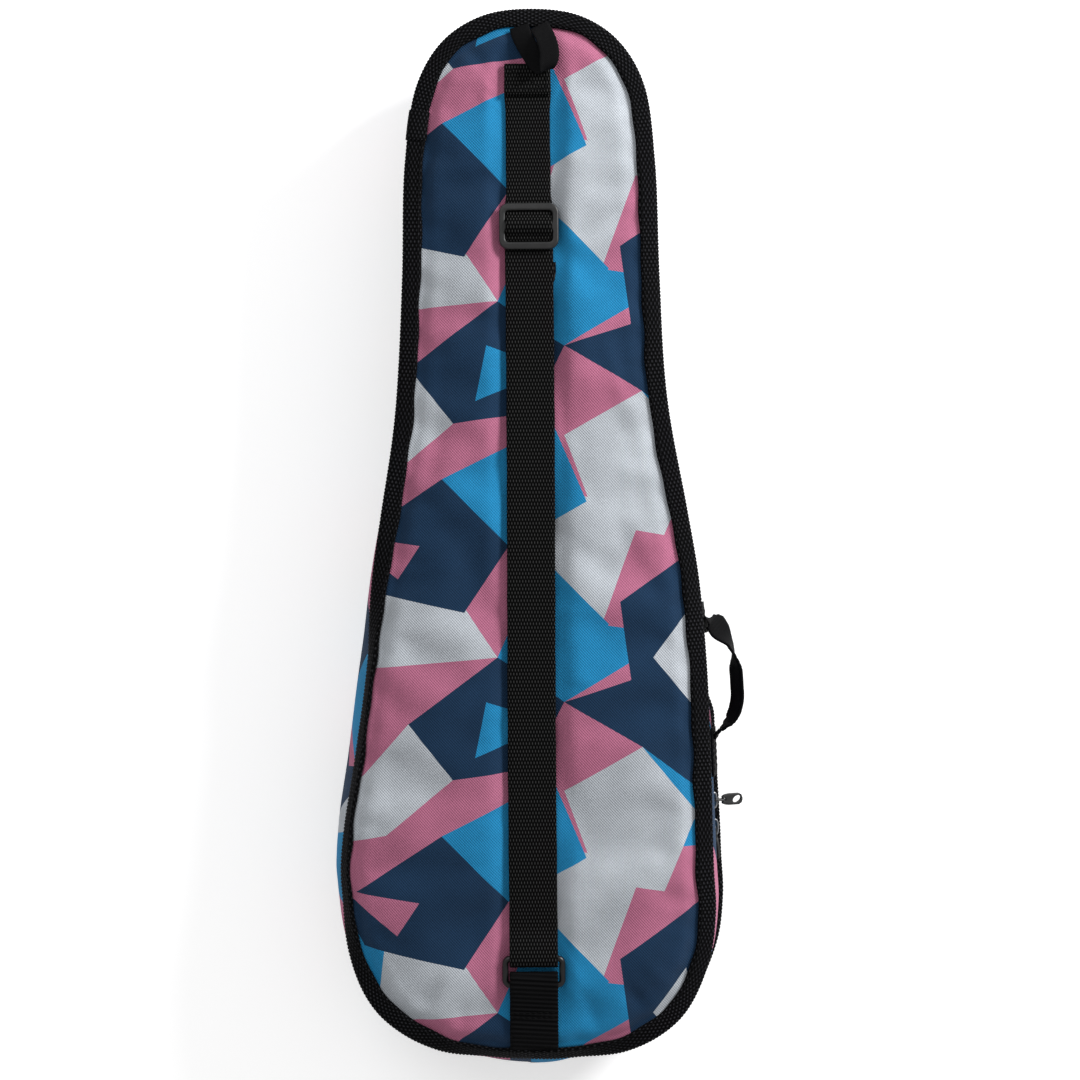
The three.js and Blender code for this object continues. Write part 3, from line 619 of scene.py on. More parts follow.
def back_height(panel):
    """Height of the back panel's outer face: crowned, pressed flat under the strap, and creased."""
    x, y, n = panel.x, panel.y, panel.n
    side = np.abs(x - strap_middle(y))
    free = ease(12.5, 24, side)
    rise = ease(SEAM_INSET - 0.6, CROWN_INSET, n)
    crown = CROWN * ease(SEAM_INSET - 0.6, 18, n) + FULLNESS * ease(12, 46, n) * free
    arc = panel.run.arc[:, None]
    pucker = np.sin(arc / 2.9 + 1.5 * np.sin(arc / 23)) + 0.6 * np.sin(arc / 6.1 + np.sin(arc / 13))
    pucker = 0.22 * pucker * ease(SEAM_INSET, SEAM_INSET + 2, n) * np.exp(-np.maximum(n - 13, 0) / 5)
    crease = CREASE * folds(x, y, BACK_FOLDS) + UNEVEN * wobble(x, y, 0.7)
    return DEPTH - CROWN + crown + pucker + crease * free * rise


CLOTH_COLUMNS = [0, 4, 7, 9, 11] + list(range(13, 36, 2))  # columns of the panel's grid it uses
CLOTH_FRAMES = 24
CLOTH_SLACK = 0.018  # share by which the cloth is cut too large
RISE_LIMIT = 2.6  # mm


def buckled(panel, height, slack):
    """How far cloth cut [slack] too large rises off a panel, held at its seam and strap, in mm.

    The cloth is simulated on the panel's own grid, so that its print and seams stay in place.
    """
    xy, start, inset = (a[::2][:, CLOTH_COLUMNS] for a in (panel.xy, height, panel.n))
    rows, cols = start.shape
    faces, _, _ = grid(rows, cols, wrap_rows=True)
    x, y = xy[..., 0], xy[..., 1]
    points = np.concatenate([xy, (start + 0.15 * wobble(x, y, 1.9))[..., None]], -1)
    mesh = bpy.data.meshes.new("loose_cloth")
    mesh.from_pydata((points.reshape(-1, 3) * MM).tolist(), [], faces.tolist())
    cloth = bpy.data.objects.new("loose_cloth", mesh)
    scene = bpy.context.scene
    scene.collection.objects.link(cloth)
    held = (inset < SEAM_INSET + 1) | (np.abs(x - strap_middle(y)) < STRAP_WIDTH / 2)
    cloth.vertex_groups.new(name="held").add(np.flatnonzero(held).tolist(), 1.0, "REPLACE")
    modifier = cloth.modifiers.new("cloth", "CLOTH")
    settings = modifier.settings
    settings.quality, settings.mass, settings.air_damping = 7, 0.25, 2.0
    settings.tension_stiffness = settings.compression_stiffness = 30
    settings.shear_stiffness, settings.bending_stiffness = 15, 12
    settings.shrink_min = -slack
    settings.use_pressure, settings.uniform_pressure_force = True, 1.0
    settings.effector_weights.gravity = 0
    settings.vertex_group_mass = "held"
    modifier.point_cache.frame_start, modifier.point_cache.frame_end = 1, CLOTH_FRAMES
    for frame_number in range(1, CLOTH_FRAMES + 1):
        scene.frame_set(frame_number)
    settled = cloth.evaluated_get(bpy.context.evaluated_depsgraph_get()).to_mesh()
    flat = np.empty(len(settled.vertices) * 3)
    settled.vertices.foreach_get("co", flat)
    rise = flat.reshape(rows, cols, 3)[..., 2] / MM - start
    bpy.data.objects.remove(cloth)
    bpy.data.meshes.remove(mesh)
    scene.frame_set(1)
    rise = RISE_LIMIT * np.tanh(rise / RISE_LIMIT)
    every = np.stack([np.interp(np.arange(height.shape[1]), CLOTH_COLUMNS, row) for row in rise])
    full = np.empty_like(height)
    full[::2], full[1::2] = every, (every + np.roll(every, -1, 0)) / 2
    for _ in range(2):
        full = (np.roll(full, 1, 0) + 2 * full + np.roll(full, -1, 0)) / 4
        full[:, 1:-1] = (full[:, :-2] + 2 * full[:, 1:-1] + full[:, 2:]) / 4
    return full


def front_height(panel):
    """Depth of the front panel's outer face, flat where it rests."""
    x, y, n = panel.x, panel.y, panel.n
    rise = ease(SEAM_INSET - 0.6, CROWN_INSET, n)
    arc = panel.run.arc[:, None]
    pucker = 0.2 * np.sin(arc / 3.1 + 1.4 * np.sin(arc / 29)) * np.exp(-np.abs(n - 14) / 5)
    loose = np.maximum(0, 0.35 + 0.5 * wobble(x, y, 2.2)) * ease(60, 26, n)
    return np.maximum(CROWN * (1 - rise) + (pucker + loose * 0.5) * rise, 0)


def padded_panel(name, front, body, replaced):
    """A crowned panel of fabric and foam, its back one with the fabric's own buckles."""
    panel = Panel(front)
    face = front_height(panel) if front else back_height(panel)
    if not front:
        side = np.abs(panel.x - strap_middle(panel.y))
        free = ease(SEAM_INSET, SEAM_INSET + 3, panel.n) * ease(STRAP_WIDTH / 2, 19, side)
        face = face + free * buckled(panel, face, CLOTH_SLACK)
    under = np.where(panel.n > SEAM_INSET + 0.4, PADDING, FABRIC)
    sign = 1 if front else -1
    level = CROWN if front else DEPTH - CROWN
    inner_face = level + sign * under - sign * CROWN * ease(SEAM_INSET, CROWN_INSET, panel.n)
    if not front:
        face = np.where(panel.n < SEAM_INSET, level, face)
    outer = np.concatenate([panel.xy, face[..., None]], -1)
    inner = np.concatenate([panel.xy, inner_face[..., None]], -1)
    if not front:
        bound = panel.BOUND
        for layer in (outer, inner):
            n, z = tilted(panel.run, -panel.n[:, :bound], layer[:, :bound, 2])
            layer[:, :bound] = place(panel.run, n, z)
    points = np.concatenate([outer[:, ::-1], inner], 1)
    rows, cols = points.shape[:2]
    faces, row, col = grid(rows, cols, wrap_rows=True)
    flat = np.concatenate([panel.xy[:, ::-1], panel.xy], 1) * MM
    piece = make(name, points, faces.tolist(), body, PRINTED,
                 flat[row % rows, col], merge=0.002)
    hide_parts(*replaced)


# ---- Side wall ----

def wall_unevenness(run, z):
    """How far the padded side wall stands off its mean face."""
    arc = run.arc[:, None]
    z = np.asarray(z, float)
    body = ease(0, 1, run.bulge / BULGE_FULL)[:, None]
    swell = 0.7 * wobble(arc * 0.8, z * 2.2, 1.9) * np.sin(np.pi * np.clip((z - 27) / 40, 0, 1))
    near = np.exp(-np.maximum(67 - z, 0) / 5)
    pucker = 0.3 * near * (np.sin(arc / 2.7 + 1.3 * np.sin(arc / 19)) + 0.5 * np.sin(arc / 5.3))
    return swell * (0.5 + 0.7 * body) + pucker * (z < 67.5)


def gusset():
    """The padded side wall, from the zip up to its flange in the back seam."""
    run = whole(720)
    z_out = np.concatenate([np.linspace(27, 60, 17), [62, 63.5, 65, 66.2, 67.2, 68]])
    n_out = wall(run, z_out) + wall_unevenness(run, z_out)
    n_out[:, -1] = np.maximum(n_out[:, -1], -WALL_ROOT)
    top = BACK_SEAM - 0.15
    flange = [(-WALL_ROOT, top - FABRIC), (-6, top - FABRIC), (-1.5, top - FABRIC),
              (-1.5, top), (-6, top), (-WALL_ROOT - FABRIC, top)]
    flange_n = np.ones((len(run.arc), 1)) * [a for a, _ in flange]
    flange_n, flange_z = tilted(run, flange_n, [b for _, b in flange])
    z_in = np.array([66.4, 64.2, 56, 46, 36, 31, 30, 27])
    behind = np.array([0.9, 6.8, 6.8, 6.8, 6.8, 6.6, 0.9, 0.8])
    n_in = wall(run, z_in) - behind
    n = np.concatenate([n_out, flange_n, n_in], 1)
    z = np.concatenate([np.ones_like(n_out) * z_out, flange_z, np.ones_like(n_in) * z_in], 1)
    v = np.concatenate([z_out, [b for _, b in flange], z_in]) + 70
    piece = band("side_wall_padded", run, n, z, "back_half", PRINTED, v=v)
    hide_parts("gusset_shell", "gusset_padding")


def front_band():
    """The narrow band of fabric between the front seam and the zip."""
    run = whole(600)
    top = ZIP_Z - TAPE_SHOWN
    z_out = np.array([5.3, 7, 9, 11, 13, 14.4, top])
    n_out = wall(run, z_out) + 0.25 * wobble(run.arc[:, None], z_out * 3, 4.0)
    n_out[:, -1] -= 0.25
    edge = run.front[:, None]
    low = FRONT_SEAM + 0.15
    foot = wall(run, [low + FABRIC])
    flange_n = np.concatenate([foot - FABRIC, edge - 8, edge - 1.5, edge - 1.5, edge - 8, foot], 1)
    flange_z = np.array([low, low, low, low + FABRIC, low + FABRIC, low + FABRIC])
    z_in = z_out[::-1]
    n_in = wall(run, z_in) - FABRIC
    n = np.concatenate([flange_n, n_out, n_in], 1)
    z = np.concatenate([flange_z, z_out, z_in])
    v = np.concatenate([flange_z, z_out, z_in]) + 70
    piece = band("front_band", run, n, z, "front_half", PRINTED, v=v)
    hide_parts("front_band_shell")


# ---- Bindings ----

RIB = LENGTH / 680  # from one rib of the binding tape to the next


def ribbed(run, pitch, depth):
    """Height of the tape's ribs."""
    return depth * np.abs(np.sin(np.pi * run.arc / pitch))[:, None] ** 0.7


def binding(name, seam, back, body, replaced):
    """Ribbed tape folded over a seam's edge."""
    run = whole(3400)
    edge = np.zeros(len(run.arc)) if back else run.front
    arc = run.arc[:, None]
    waver = 0.28 * np.sin(arc / 9 + 2 * np.sin(arc / 37)) + 0.2 * np.sin(arc / 4.1 + 1.0)
    rib = ribbed(run, RIB, 0.34)
    # Across the tape: distance in from the fold, height off the seam's middle, share of the ribs.
    outside = [(10, 1.28, 0), (10.15, 1.9, 0.4), (9.4, 2.3, 1), (7.2, 2.35, 1), (4.6, 2.3, 1),
               (2.2, 2.2, 1), (0.7, 1.75, 1), (0, 0.9, 1)]
    slot = [(10, -1.28, 0), (5, -1.28, 0), (1.2, -1.28, 0), (1.2, 1.28, 0), (5, 1.28, 0)]
    columns = outside + [(a, -b, c) for a, b, c in outside[::-1][:-1]] + slot
    inset, height, share = (np.array(c)[None, :] for c in zip(*columns))
    n = -inset + rib * share * (inset < 1) + waver * (inset > 9)
    z = seam + height + np.sign(height) * rib * share * (inset >= 0.6)
    z = z + (0.35 * np.sin(arc / 31 + 0.8) + 0.2 * np.sin(arc / 11)) * ease(6, 0, inset)
    n, z = n * np.ones_like(z), z * np.ones_like(n)
    if back:
        n, z = tilted(run, n, z)
    piece = band(name, run, n + edge[:, None], z, body, BINDING)
    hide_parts(replaced)


def binding_join(y, right):
    """Where the tape's end laps over its start."""
    middle = arc_at(y, right)
    run = Run(np.linspace(middle - 9, middle + 7, 44))
    rib = ribbed(run, RIB, 0.22)
    outside = [(10.1, 1.4), (10.6, 2.3), (9.3, 3.1), (5, 3.2), (2, 3.0), (0.2, 2.5), (-0.9, 1.2), (-1.1, 0)]
    inside = [(-0.2, 0), (0.1, 1.0), (1.0, 1.9), (5, 2.6), (9.6, 2.5), (9.9, 1.4)]
    half = outside + [(a, -b) for a, b in outside[::-1][1:]]
    back = [(a, -b) for a, b in inside[::-1]] + inside[1:]
    columns = np.array(half + back)
    n = -columns[:, 0] * np.ones((len(run.arc), 1)) + rib * (np.arange(len(columns)) < len(half)) * 0.5
    z = BACK_SEAM + columns[:, 1] * np.ones_like(n)
    n, z = tilted(run, n, z)
    band("binding_lap", run, n, z, "back_half", BINDING, loop=False)


# ---- Zip and hinge ----

COIL_TRIM, COIL_PITCH = 4, 1.56  # from the hinge to the first tooth, and from tooth to tooth
HINGE_FIRST, HINGE_LAST = (arc_at(y, False) for y in HINGE_Y)  # along the outline


def zip_run(count, trim=3.0):
    """Stations along the zip, from one end of the hinge round to the other."""
    return Run(np.linspace(HINGE_LAST + trim, HINGE_FIRST + LENGTH - trim, count))


def zip_tape(side, sign, body):
    run = zip_run(520)
    off = np.array([0.75, 2.4, 4.2, TAPE_SHOWN, TAPE_REACH])
    z_out = ZIP_Z + sign * off
    face = wall(run, z_out) - np.array([0.95, 0.95, 1.0, 1.08, 1.12])
    back = wall(run, z_out[::-1]) - 1.85
    n = np.concatenate([face, back], 1)
    z = np.concatenate([z_out, z_out[::-1]])
    piece = band(f"zip_tape_{side}", run, n, z, body, ZIP_TAPE, loop=False)
    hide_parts(f"{side}_zip_tape")


def coil(side, sign, body, shift):
    """Moulded coil teeth along one tape, their heads meeting the other side's in turn."""
    span = LENGTH + HINGE_FIRST - HINGE_LAST - 2 * COIL_TRIM
    count = int(span / COIL_PITCH)
    run = Run(HINGE_LAST + COIL_TRIM + (np.arange(count) + shift) * span / count)
    reach = np.array([-0.30, -0.1, 0.35, 0.9, 2.2, 3.0, 3.25])
    half = np.array([0.14, 0.33, 0.40, 0.31, 0.31, 0.28, 0.12])
    tall = np.array([0.2, 0.55, 0.62, 0.55, 0.55, 0.45, 0.15])
    angle = np.arange(6) * math.tau / 6
    z = ZIP_Z + sign * reach
    middle = place(run, wall(run, z) - 0.2, z)
    out = np.concatenate([run.out, np.zeros((count, 1))], 1)
    along = np.concatenate([run.along, np.zeros((count, 1))], 1)
    ring = (middle[:, :, None]
            + along[:, None, None] * (half[:, None] * np.cos(angle))[None, ..., None]
            + out[:, None, None] * (tall[:, None] * np.sin(angle))[None, ..., None])
    many(f"zip_teeth_{side}", ring, body, "zip_coil", COIL, f"{side}_zip_coil")


def many(name, rings, body, slot, look, *replaced):
    """One piece of many small closed tubes: rings of shape tubes by rings by sides by 3."""
    count, rows, sides = rings.shape[:3]
    faces, row, col = grid(rows, sides, wrap_cols=True)
    base = (np.arange(count) * rows * sides)[:, None, None]
    quads = (faces[None] + base).reshape(-1, 4).tolist()
    ends = np.stack([np.arange(sides)[::-1], (rows - 1) * sides + np.arange(sides)])
    caps = (ends[None] + base).reshape(-1, sides).tolist()
    uv = np.stack([row, col * 0.5], -1) * MM
    uv = np.concatenate([np.tile(uv.reshape(-1, 2), (count, 1)), np.zeros((len(caps) * sides, 2))])
    piece = make(name, rings, quads + caps, body, look, uv)
    if replaced:
        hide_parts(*replaced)
    return piece


def hinge_fabric():
    """Folded fabric that joins the two halves where the zip stops."""
    run = Run(np.linspace(HINGE_FIRST + 1, HINGE_LAST - 1, 90))
    z_out = ZIP_Z + np.linspace(-TAPE_REACH, TAPE_REACH, 15)
    face = wall(run, z_out) - 1.0 + 0.15 * wobble(run.arc[:, None], z_out * 4, 5.0)
    face[:, [0, -1]] -= 0.1
    n = np.concatenate([face, wall(run, z_out[::-1]) - 1.9], 1)
    z = np.concatenate([z_out, z_out[::-1]])
    piece = band("hinge_fabric", run, n, z, None, PRINTED, loop=False, v=z + 70)
    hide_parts("front_hinge_strip", "back_hinge_strip")
    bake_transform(piece)


# ---- Linings ----


def lining_skin(name, panel, upper, lower, body, replaced):
    """A thin skin over a panel's grid, its two faces joined round the edge."""
    points = np.concatenate([upper[:, ::-1], lower], 1)
    faces, row, col = grid(*points.shape[:2], wrap_rows=True)
    flat = points[..., :2] * MM
    piece = make(name, points, faces.tolist(), body, LINING,
                 flat[row % points.shape[0], col], merge=0.002)
    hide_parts(replaced)


def lining_back():
    panel = Panel(False, 320, 14, inset=15)
    level = DEPTH - CROWN - PADDING + CROWN * ease(SEAM_INSET, CROWN_INSET, panel.n)
    slack = 0.5 + 0.4 * wobble(panel.x, panel.y, 3.1)
    upper = np.concatenate([panel.xy, (level - 0.3)[..., None]], -1)
    lower = np.concatenate([panel.xy, (level - 1.0 - slack)[..., None]], -1)
    lining_skin("lining_back", panel, upper, lower, "back_half", "back_lining")


def lining_front():
    """A tray: it lies on the front foam and turns up inside the wall, as far as the zip."""
    panel = Panel(True, 320, 14, inset=26)
    run = panel.run
    slack = 0.55 + 0.45 * wobble(panel.x, panel.y, 4.4)
    flat_upper = np.concatenate([panel.xy, (7.3 + slack)[..., None]], -1)
    flat_lower = np.concatenate([panel.xy, np.full_like(panel.x, 6.6)[..., None]], -1)
    rim_z = np.array([16.0, 14, 12, 10.2])
    rim = place(run, wall(run, rim_z) - 3.1, rim_z)
    rim_back = place(run, wall(run, rim_z) - 2.5, rim_z)
    turn = mix(rim[:, -1:], flat_upper[:, :1], 0.45) - [0, 0, 0.4]
    turn_back = mix(rim_back[:, -1:], flat_lower[:, :1], 0.45) - [0, 0, 0.4]
    upper = np.concatenate([rim, turn, flat_upper], 1)
    lower = np.concatenate([rim_back, turn_back, flat_lower], 1)
    lining_skin("lining_front", panel, upper, lower, "front_half",
                "front_lining")


def lining_side():
    run = whole(420)
    z = np.array([29.6, 31, 34, 38, 43, 48, 53, 58, 62, 64.6])
    slack = 0.35 * wobble(run.arc[:, None], z * 3, 2.6)
    near = np.array([2.4, 7.5, 7.7, 7.7, 7.7, 7.7, 7.7, 7.7, 7.7, 7.5])
    face = wall(run, z) - near
    n = np.concatenate([face, face[:, ::-1] - 0.65 - np.maximum(slack[:, ::-1], 0)], 1)
    piece = band("lining_side", run, n, np.concatenate([z, z[::-1]]), "back_half", LINING)
    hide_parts("gusset_lining")


def inner_seam():
    """Tape bound over the raw edges where the back lining meets the side lining."""
    run = whole(900)
    rib = ribbed(run, LENGTH / 450, 0.18)
    angle = np.linspace(0, math.tau, 13)[:-1]
    across, up = 3.2 * np.cos(angle), 1.3 * np.sin(angle)
    tip = 0.9
    n = -17.2 + across * math.cos(tip) - up * math.sin(tip) + rib * 0.4
    z = 64.0 + across * math.sin(tip) + up * math.cos(tip) - rib
    band("inner_seam_tape", run, n, z, "back_half", BINDING)


# ---- Strap, adjuster and ring ----

def strap_points(path):
    """Points from [up the bag, above the back face] on the strap's slanting middle line."""
    path = np.asarray(path, float)
    return np.stack([-path[:, 0] * math.sin(STRAP_LEAN), path[:, 0] * math.cos(STRAP_LEAN),
                     DEPTH + path[:, 1]], 1)


STRAP_ACROSS = np.array([math.cos(STRAP_LEAN), math.sin(STRAP_LEAN), 0])
LAYER = (1.0, 2.75)  # middle of each webbing layer above the back face
UPPER_BAR = RING_Y + RING[1] / 2 - RING_BAR / 2
LOWER_BAR = RING_Y - RING[1] / 2 + RING_BAR / 2
BAR_TURN = RING_BAR / 2 + 0.3 + WEB / 2
UPPER_LOOP, LOWER_LOOP = UPPER_BAR - 1.45, LOWER_BAR + 3.8  # the webbing's slack turns


def round_bar(y, towards, count=14):
    """The webbing's half turn round a bar of the ring."""
    angle = -math.pi / 2 + towards * math.pi * np.arange(count + 1) / count
    return np.stack([y + BAR_TURN * np.cos(angle), RING_LIFT + BAR_TURN * np.sin(angle)], 1)


def rounded(points, soft, step):
    """A path in equal steps, with its corners rounded over about [soft] mm."""
    points = respaced(np.asarray(points, float), soft)
    for _ in range(3):
        a, b = points[:-1], points[1:]
        cut = np.stack([mix(a, b, 0.25), mix(a, b, 0.75)], 1).reshape(-1, points.shape[1])
        points = np.concatenate([points[:1], cut[1:-1], points[-1:]])
    return respaced(points, step)


def shoulder_strap():
    """One strip: its tail, down to the ring and round it, then up to the sewn end."""
    low, high = LAYER
    tail = rounded([(147, low + 0.05), (-217, low + 0.05), (UPPER_LOOP, RING_LIFT - BAR_TURN)], 3, 1.5)
    over = rounded([
        (UPPER_LOOP, RING_LIFT + BAR_TURN), (-226, 6.2), (-220, 5.0), (-213, high), (-150, high),
        (176, high), (182, high - 0.25), (193, low + 0.2), (199, low), (252.2, low),
    ], 3, 1.5)
    fold = [(253.1, low + 0.3), (253.4, mix(low, high, 0.5)), (253.1, high - 0.3)]
    end = rounded([(252.2, high), (237.2, high - 0.02)], 3, 1.5)
    path = np.concatenate([tail[:-1], round_bar(UPPER_LOOP, -1), over[1:], fold, end])
    y, top = path[:, 0], np.arange(len(path)) > len(tail) + 6
    width = np.where(top, mix(STRAP_WIDTH, STRAP_NARROW, ease(176, 184, y)), STRAP_WIDTH)
    width = np.where(top, mix(width, STRAP_PATCH, ease(228, 238, y)), width)
    width = width + 0.12 * np.sin(y / 7.3) + 0.08 * np.sin(y / 3.1)
    points = strap_points(path)
    points[:, 0] += 0.25 * np.sin(y / 61 + 0.4)
    points[:, 0] += np.where(top, 0, 1.3 * ease(138, 142, y))
    piece = strip("shoulder_strap", points, STRAP_ACROSS, width, WEB, None, WEBBING, 11)
    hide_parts("back_strap", "strap_return", "strap_end_patch", "strap_loop_end")
    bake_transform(piece)
    sewn_box("strap_end_stitches", (0, 245.2), (20, 11), DEPTH + high + WEB / 2)


def ring_tab():
    """Webbing sewn into the seam at the foot, folded round the ring."""
    under = rounded([(-275.2, -1.75), (-268, 0.0), (-259, 1.0), (-250, 1.0),
                     (LOWER_LOOP, RING_LIFT - BAR_TURN)], 2.5, 1.2)
    over = rounded([(LOWER_LOOP, RING_LIFT + BAR_TURN), (-243, 6.2), (-249, 4.6), (-256, 2.9), (-259, 2.7),
                    (-268, 1.75), (-274.6, -0.1), (-278, -0.95)], 2.5, 1.2)
    path = np.concatenate([under[:-1], round_bar(LOWER_LOOP, 1), over[1:]])
    width = STRAP_WIDTH + 0.1 * np.sin(path[:, 0] / 2.3)
    piece = strip("ring_anchor_tab", strap_points(path), STRAP_ACROSS, width, WEB, "back_half",
                  DARK_WEBBING, 11)
    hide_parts("ring_tab")
    lines = []
    for y, z in ((-257.2, 2.9), (-259.6, 2.7), (-268.5, 1.15)):
        line = strap_points([(y, z + WEB / 2)] * 2)
        lines.append((line + np.outer([-11.5, 11.5], STRAP_ACROSS), np.tile([0, 0, 1.0], (2, 1))))
    stitched("tab_stitches", lines, "back_half")


def round_rect(width, height, radius, steps=7, cx=0.0, cy=0.0):
    corners = ((1, 1, 0), (-1, 1, 1), (-1, -1, 2), (1, -1, 3))
    points = []
    for sx, sy, quarter in corners:
        angle = (quarter + np.arange(steps + 1) / steps) * math.pi / 2
        points.append(np.stack([cx + sx * (width / 2 - radius) + radius * np.cos(angle),
                                cy + sy * (height / 2 - radius) + radius * np.sin(angle)], 1))
    return np.concatenate(points)


def oval(rx, ry, cx, cy, tilt=0.0, steps=28):
    angle = np.arange(steps) * math.tau / steps
    x, y = rx * np.cos(angle), ry * np.sin(angle)
    return np.stack([cx + x * math.cos(tilt) - y * math.sin(tilt),
                     cy + x * math.sin(tilt) + y * math.cos(tilt)], 1)


def cut_plate(contours, thick, rounding, matrix):
    """The mesh of a plate with rounded edges, from its outer contour and its holes."""
    curve = bpy.data.curves.new("plate", "CURVE")
    curve.dimensions, curve.fill_mode = "2D", "BOTH"
    curve.extrude, curve.bevel_depth, curve.bevel_resolution = thick / 2 - rounding, rounding, 3
    curve.offset = -rounding
    for contour in contours:
        spline = curve.splines.new("POLY")
        spline.points.add(len(contour) - 1)
        flat = np.concatenate([contour, np.zeros((len(contour), 1)), np.ones((len(contour), 1))], 1)
        spline.points.foreach_set("co", flat.ravel())
        spline.use_cyclic_u = True
    holder = bpy.data.objects.new("plate", curve)
    mesh = bpy.data.meshes.new_from_object(holder)
    mesh.transform(Matrix.Scale(MM, 4) @ matrix)
    bpy.data.objects.remove(holder)
    bpy.data.curves.remove(curve)
    return mesh


def tube_mesh(points, radius, matrix, sides, closed=True):
    """The mesh of a round bar along a line."""
    points = np.asarray(points, float)
    along = unit(np.roll(points, -1, 0) - np.roll(points, 1, 0)) if closed else unit(
        np.gradient(points, axis=0))
    up = np.array([0, 0, 1.0])
    side = unit(np.cross(along, up))
    up = np.cross(side, along)
    angle = np.arange(sides) * math.tau / sides
    rings = (points[:, None] + radius * side[:, None] * np.cos(angle)[None, :, None]
             + radius * up[:, None] * np.sin(angle)[None, :, None])
    faces, _, _ = grid(len(points), sides, closed, True)
    faces = faces.tolist()
    if not closed:
        last = (len(points) - 1) * sides
        faces += [list(range(sides)), list(range(last, last + sides))]
    mesh = bpy.data.meshes.new("tube")
    mesh.from_pydata(rings.reshape(-1, 3).tolist(), [], faces)
    mesh.transform(Matrix.Scale(MM, 4) @ matrix)
    return mesh


def assembled(name, meshes, body, slot, look, *replaced):
    """One piece from several closed meshes in metres, mapped by their place along and up."""
    bm = bmesh.new()
    for mesh in meshes:
        bm.from_mesh(mesh)
        bpy.data.meshes.remove(mesh)
    bmesh.ops.remove_doubles(bm, verts=bm.verts, dist=1e-6)
    bmesh.ops.recalc_face_normals(bm, faces=bm.faces)
    for layer in list(bm.loops.layers.uv.values()):
        bm.loops.layers.uv.remove(layer)
    layer = bm.loops.layers.uv.new("uv")
    for face in bm.faces:
        face.smooth = True
        for loop in face.loops:
            co = loop.vert.co
            loop[layer].uv = (co.y + 0.37 * co.z, co.x + 0.61 * co.z)
    mesh = bpy.data.meshes.new(name)
    bm.to_mesh(mesh)
    bm.free()
    piece = finished(bpy.data.objects.new(name, mesh), body, look)
    if replaced:
        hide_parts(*replaced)
    return piece


def strap_matrix(y, z):
    x, y, z = strap_points([(y, z)])[0]
    return Matrix.Translation((x, y, z)) @ Matrix.Rotation(STRAP_LEAN, 4, "Z")


def adjuster():
    """The three-bar slide, and the strap's hump over its middle bar."""
    w, h, thick = ADJUSTER
    side, end, middle = 3.3, 4.1, 3.0
    tall = (h - 2 * end - middle) / 2
    holes = [round_rect(w - 2 * side, tall, 1.9, 6, 0, s * (tall + middle) / 2) for s in (-1, 1)]
    at = strap_matrix(ADJUSTER_Y, 3.7 + thick / 2)
    frame_mesh = cut_plate([round_rect(w, h, 5.4, 10)] + holes, thick, 0.9, at)
    assembled("tri_glide", [frame_mesh], "adjuster", "buckle_plastic", PLASTIC, "strap_adjuster")
    half = [(7.9, 4.42), (6.2, 4.45), (4.4, 5.2), (3.1, 6.5), (1.6, 7.3), (0, 7.42)]
    path = half + [(-a, b) for a, b in half[::-1][1:]]
    points = rounded([(ADJUSTER_Y + a, b) for a, b in path], 0.8, 0.5)
    piece = strip("adjuster_webbing", strap_points(points), STRAP_ACROSS, w - 2 * side - 0.4, WEB,
                  "adjuster", WEBBING, 11)
    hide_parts("adjuster_hump")


def ring():
    route = round_rect(RING[0] - RING_BAR, RING[1] - RING_BAR, 2.7, 8)
    route = np.concatenate([route, np.zeros((len(route), 1))], 1)
    mesh = tube_mesh(route, RING_BAR / 2, strap_matrix(RING_Y, RING_LIFT), 18)
    assembled("strap_loop_ring", [mesh], "ring", "ring_metal", RING_METAL, "strap_ring")


# ---- Stitching ----

def stitched(name, lines, body, length=2.5, gap=0.7, radius=0.26, slot="webbing"):
    """Thread in short stitches along lines of points and the directions away from the cloth."""
    starts, ends, normals = [], [], []
    for points, normal in lines:
        arc = np.concatenate([[0], np.cumsum(np.linalg.norm(np.diff(points, axis=0), axis=1))])
        count = max(1, int(arc[-1] / (length + gap)))
        at = np.arange(count) * arc[-1] / count
        for target, where in ((starts, at + gap / 2), (ends, at + arc[-1] / count - gap / 2)):
            target.append(np.stack([np.interp(where, arc, points[:, k]) for k in range(3)], 1))
        normals.append(np.stack([np.interp(at, arc, normal[:, k]) for k in range(3)], 1))
    a, b, up = np.concatenate(starts), np.concatenate(ends), unit(np.concatenate(normals))
    t = np.array([0, 0.12, 0.5, 0.88, 1.0])
    size = radius * np.array([0.35, 0.85, 1.0, 0.85, 0.35])
    rise = radius * np.array([-0.9, 0.1, 0.55, 0.1, -0.9])
    middle = mix(a[:, None], b[:, None], t[:, None]) + up[:, None] * rise[:, None]
    side = unit(np.cross(up, b - a))
    angle = np.arange(6) * math.tau / 6
    rings = (middle[:, :, None] + side[:, None, None] * (size[:, None] * np.cos(angle))[..., None]
             + up[:, None, None] * (size[:, None] * np.sin(angle))[..., None])
    return many(name, rings, body, slot, THREAD)


BOX_LINES = ((0, 1), (1, 2), (2, 3), (3, 0), (0, 2), (1, 3))  # between a box's corners


def sewn_box(name, middle, size, z):
    """A sewn rectangle with a cross in it, on the strap."""
    (cx, cy), (w, h) = middle, size
    corners = [(cx - w / 2, cy - h / 2), (cx + w / 2, cy - h / 2), (cx + w / 2, cy + h / 2),
               (cx - w / 2, cy + h / 2)]
    points = [(x - y * STRAP_LEAN, y, z) for x, y in corners]
    lines = []
    for i, j in BOX_LINES:
        lines.append((np.array([points[i], points[j]]), np.tile([0, 0, 1.0], (2, 1))))
    stitched(name, lines, "back_half")


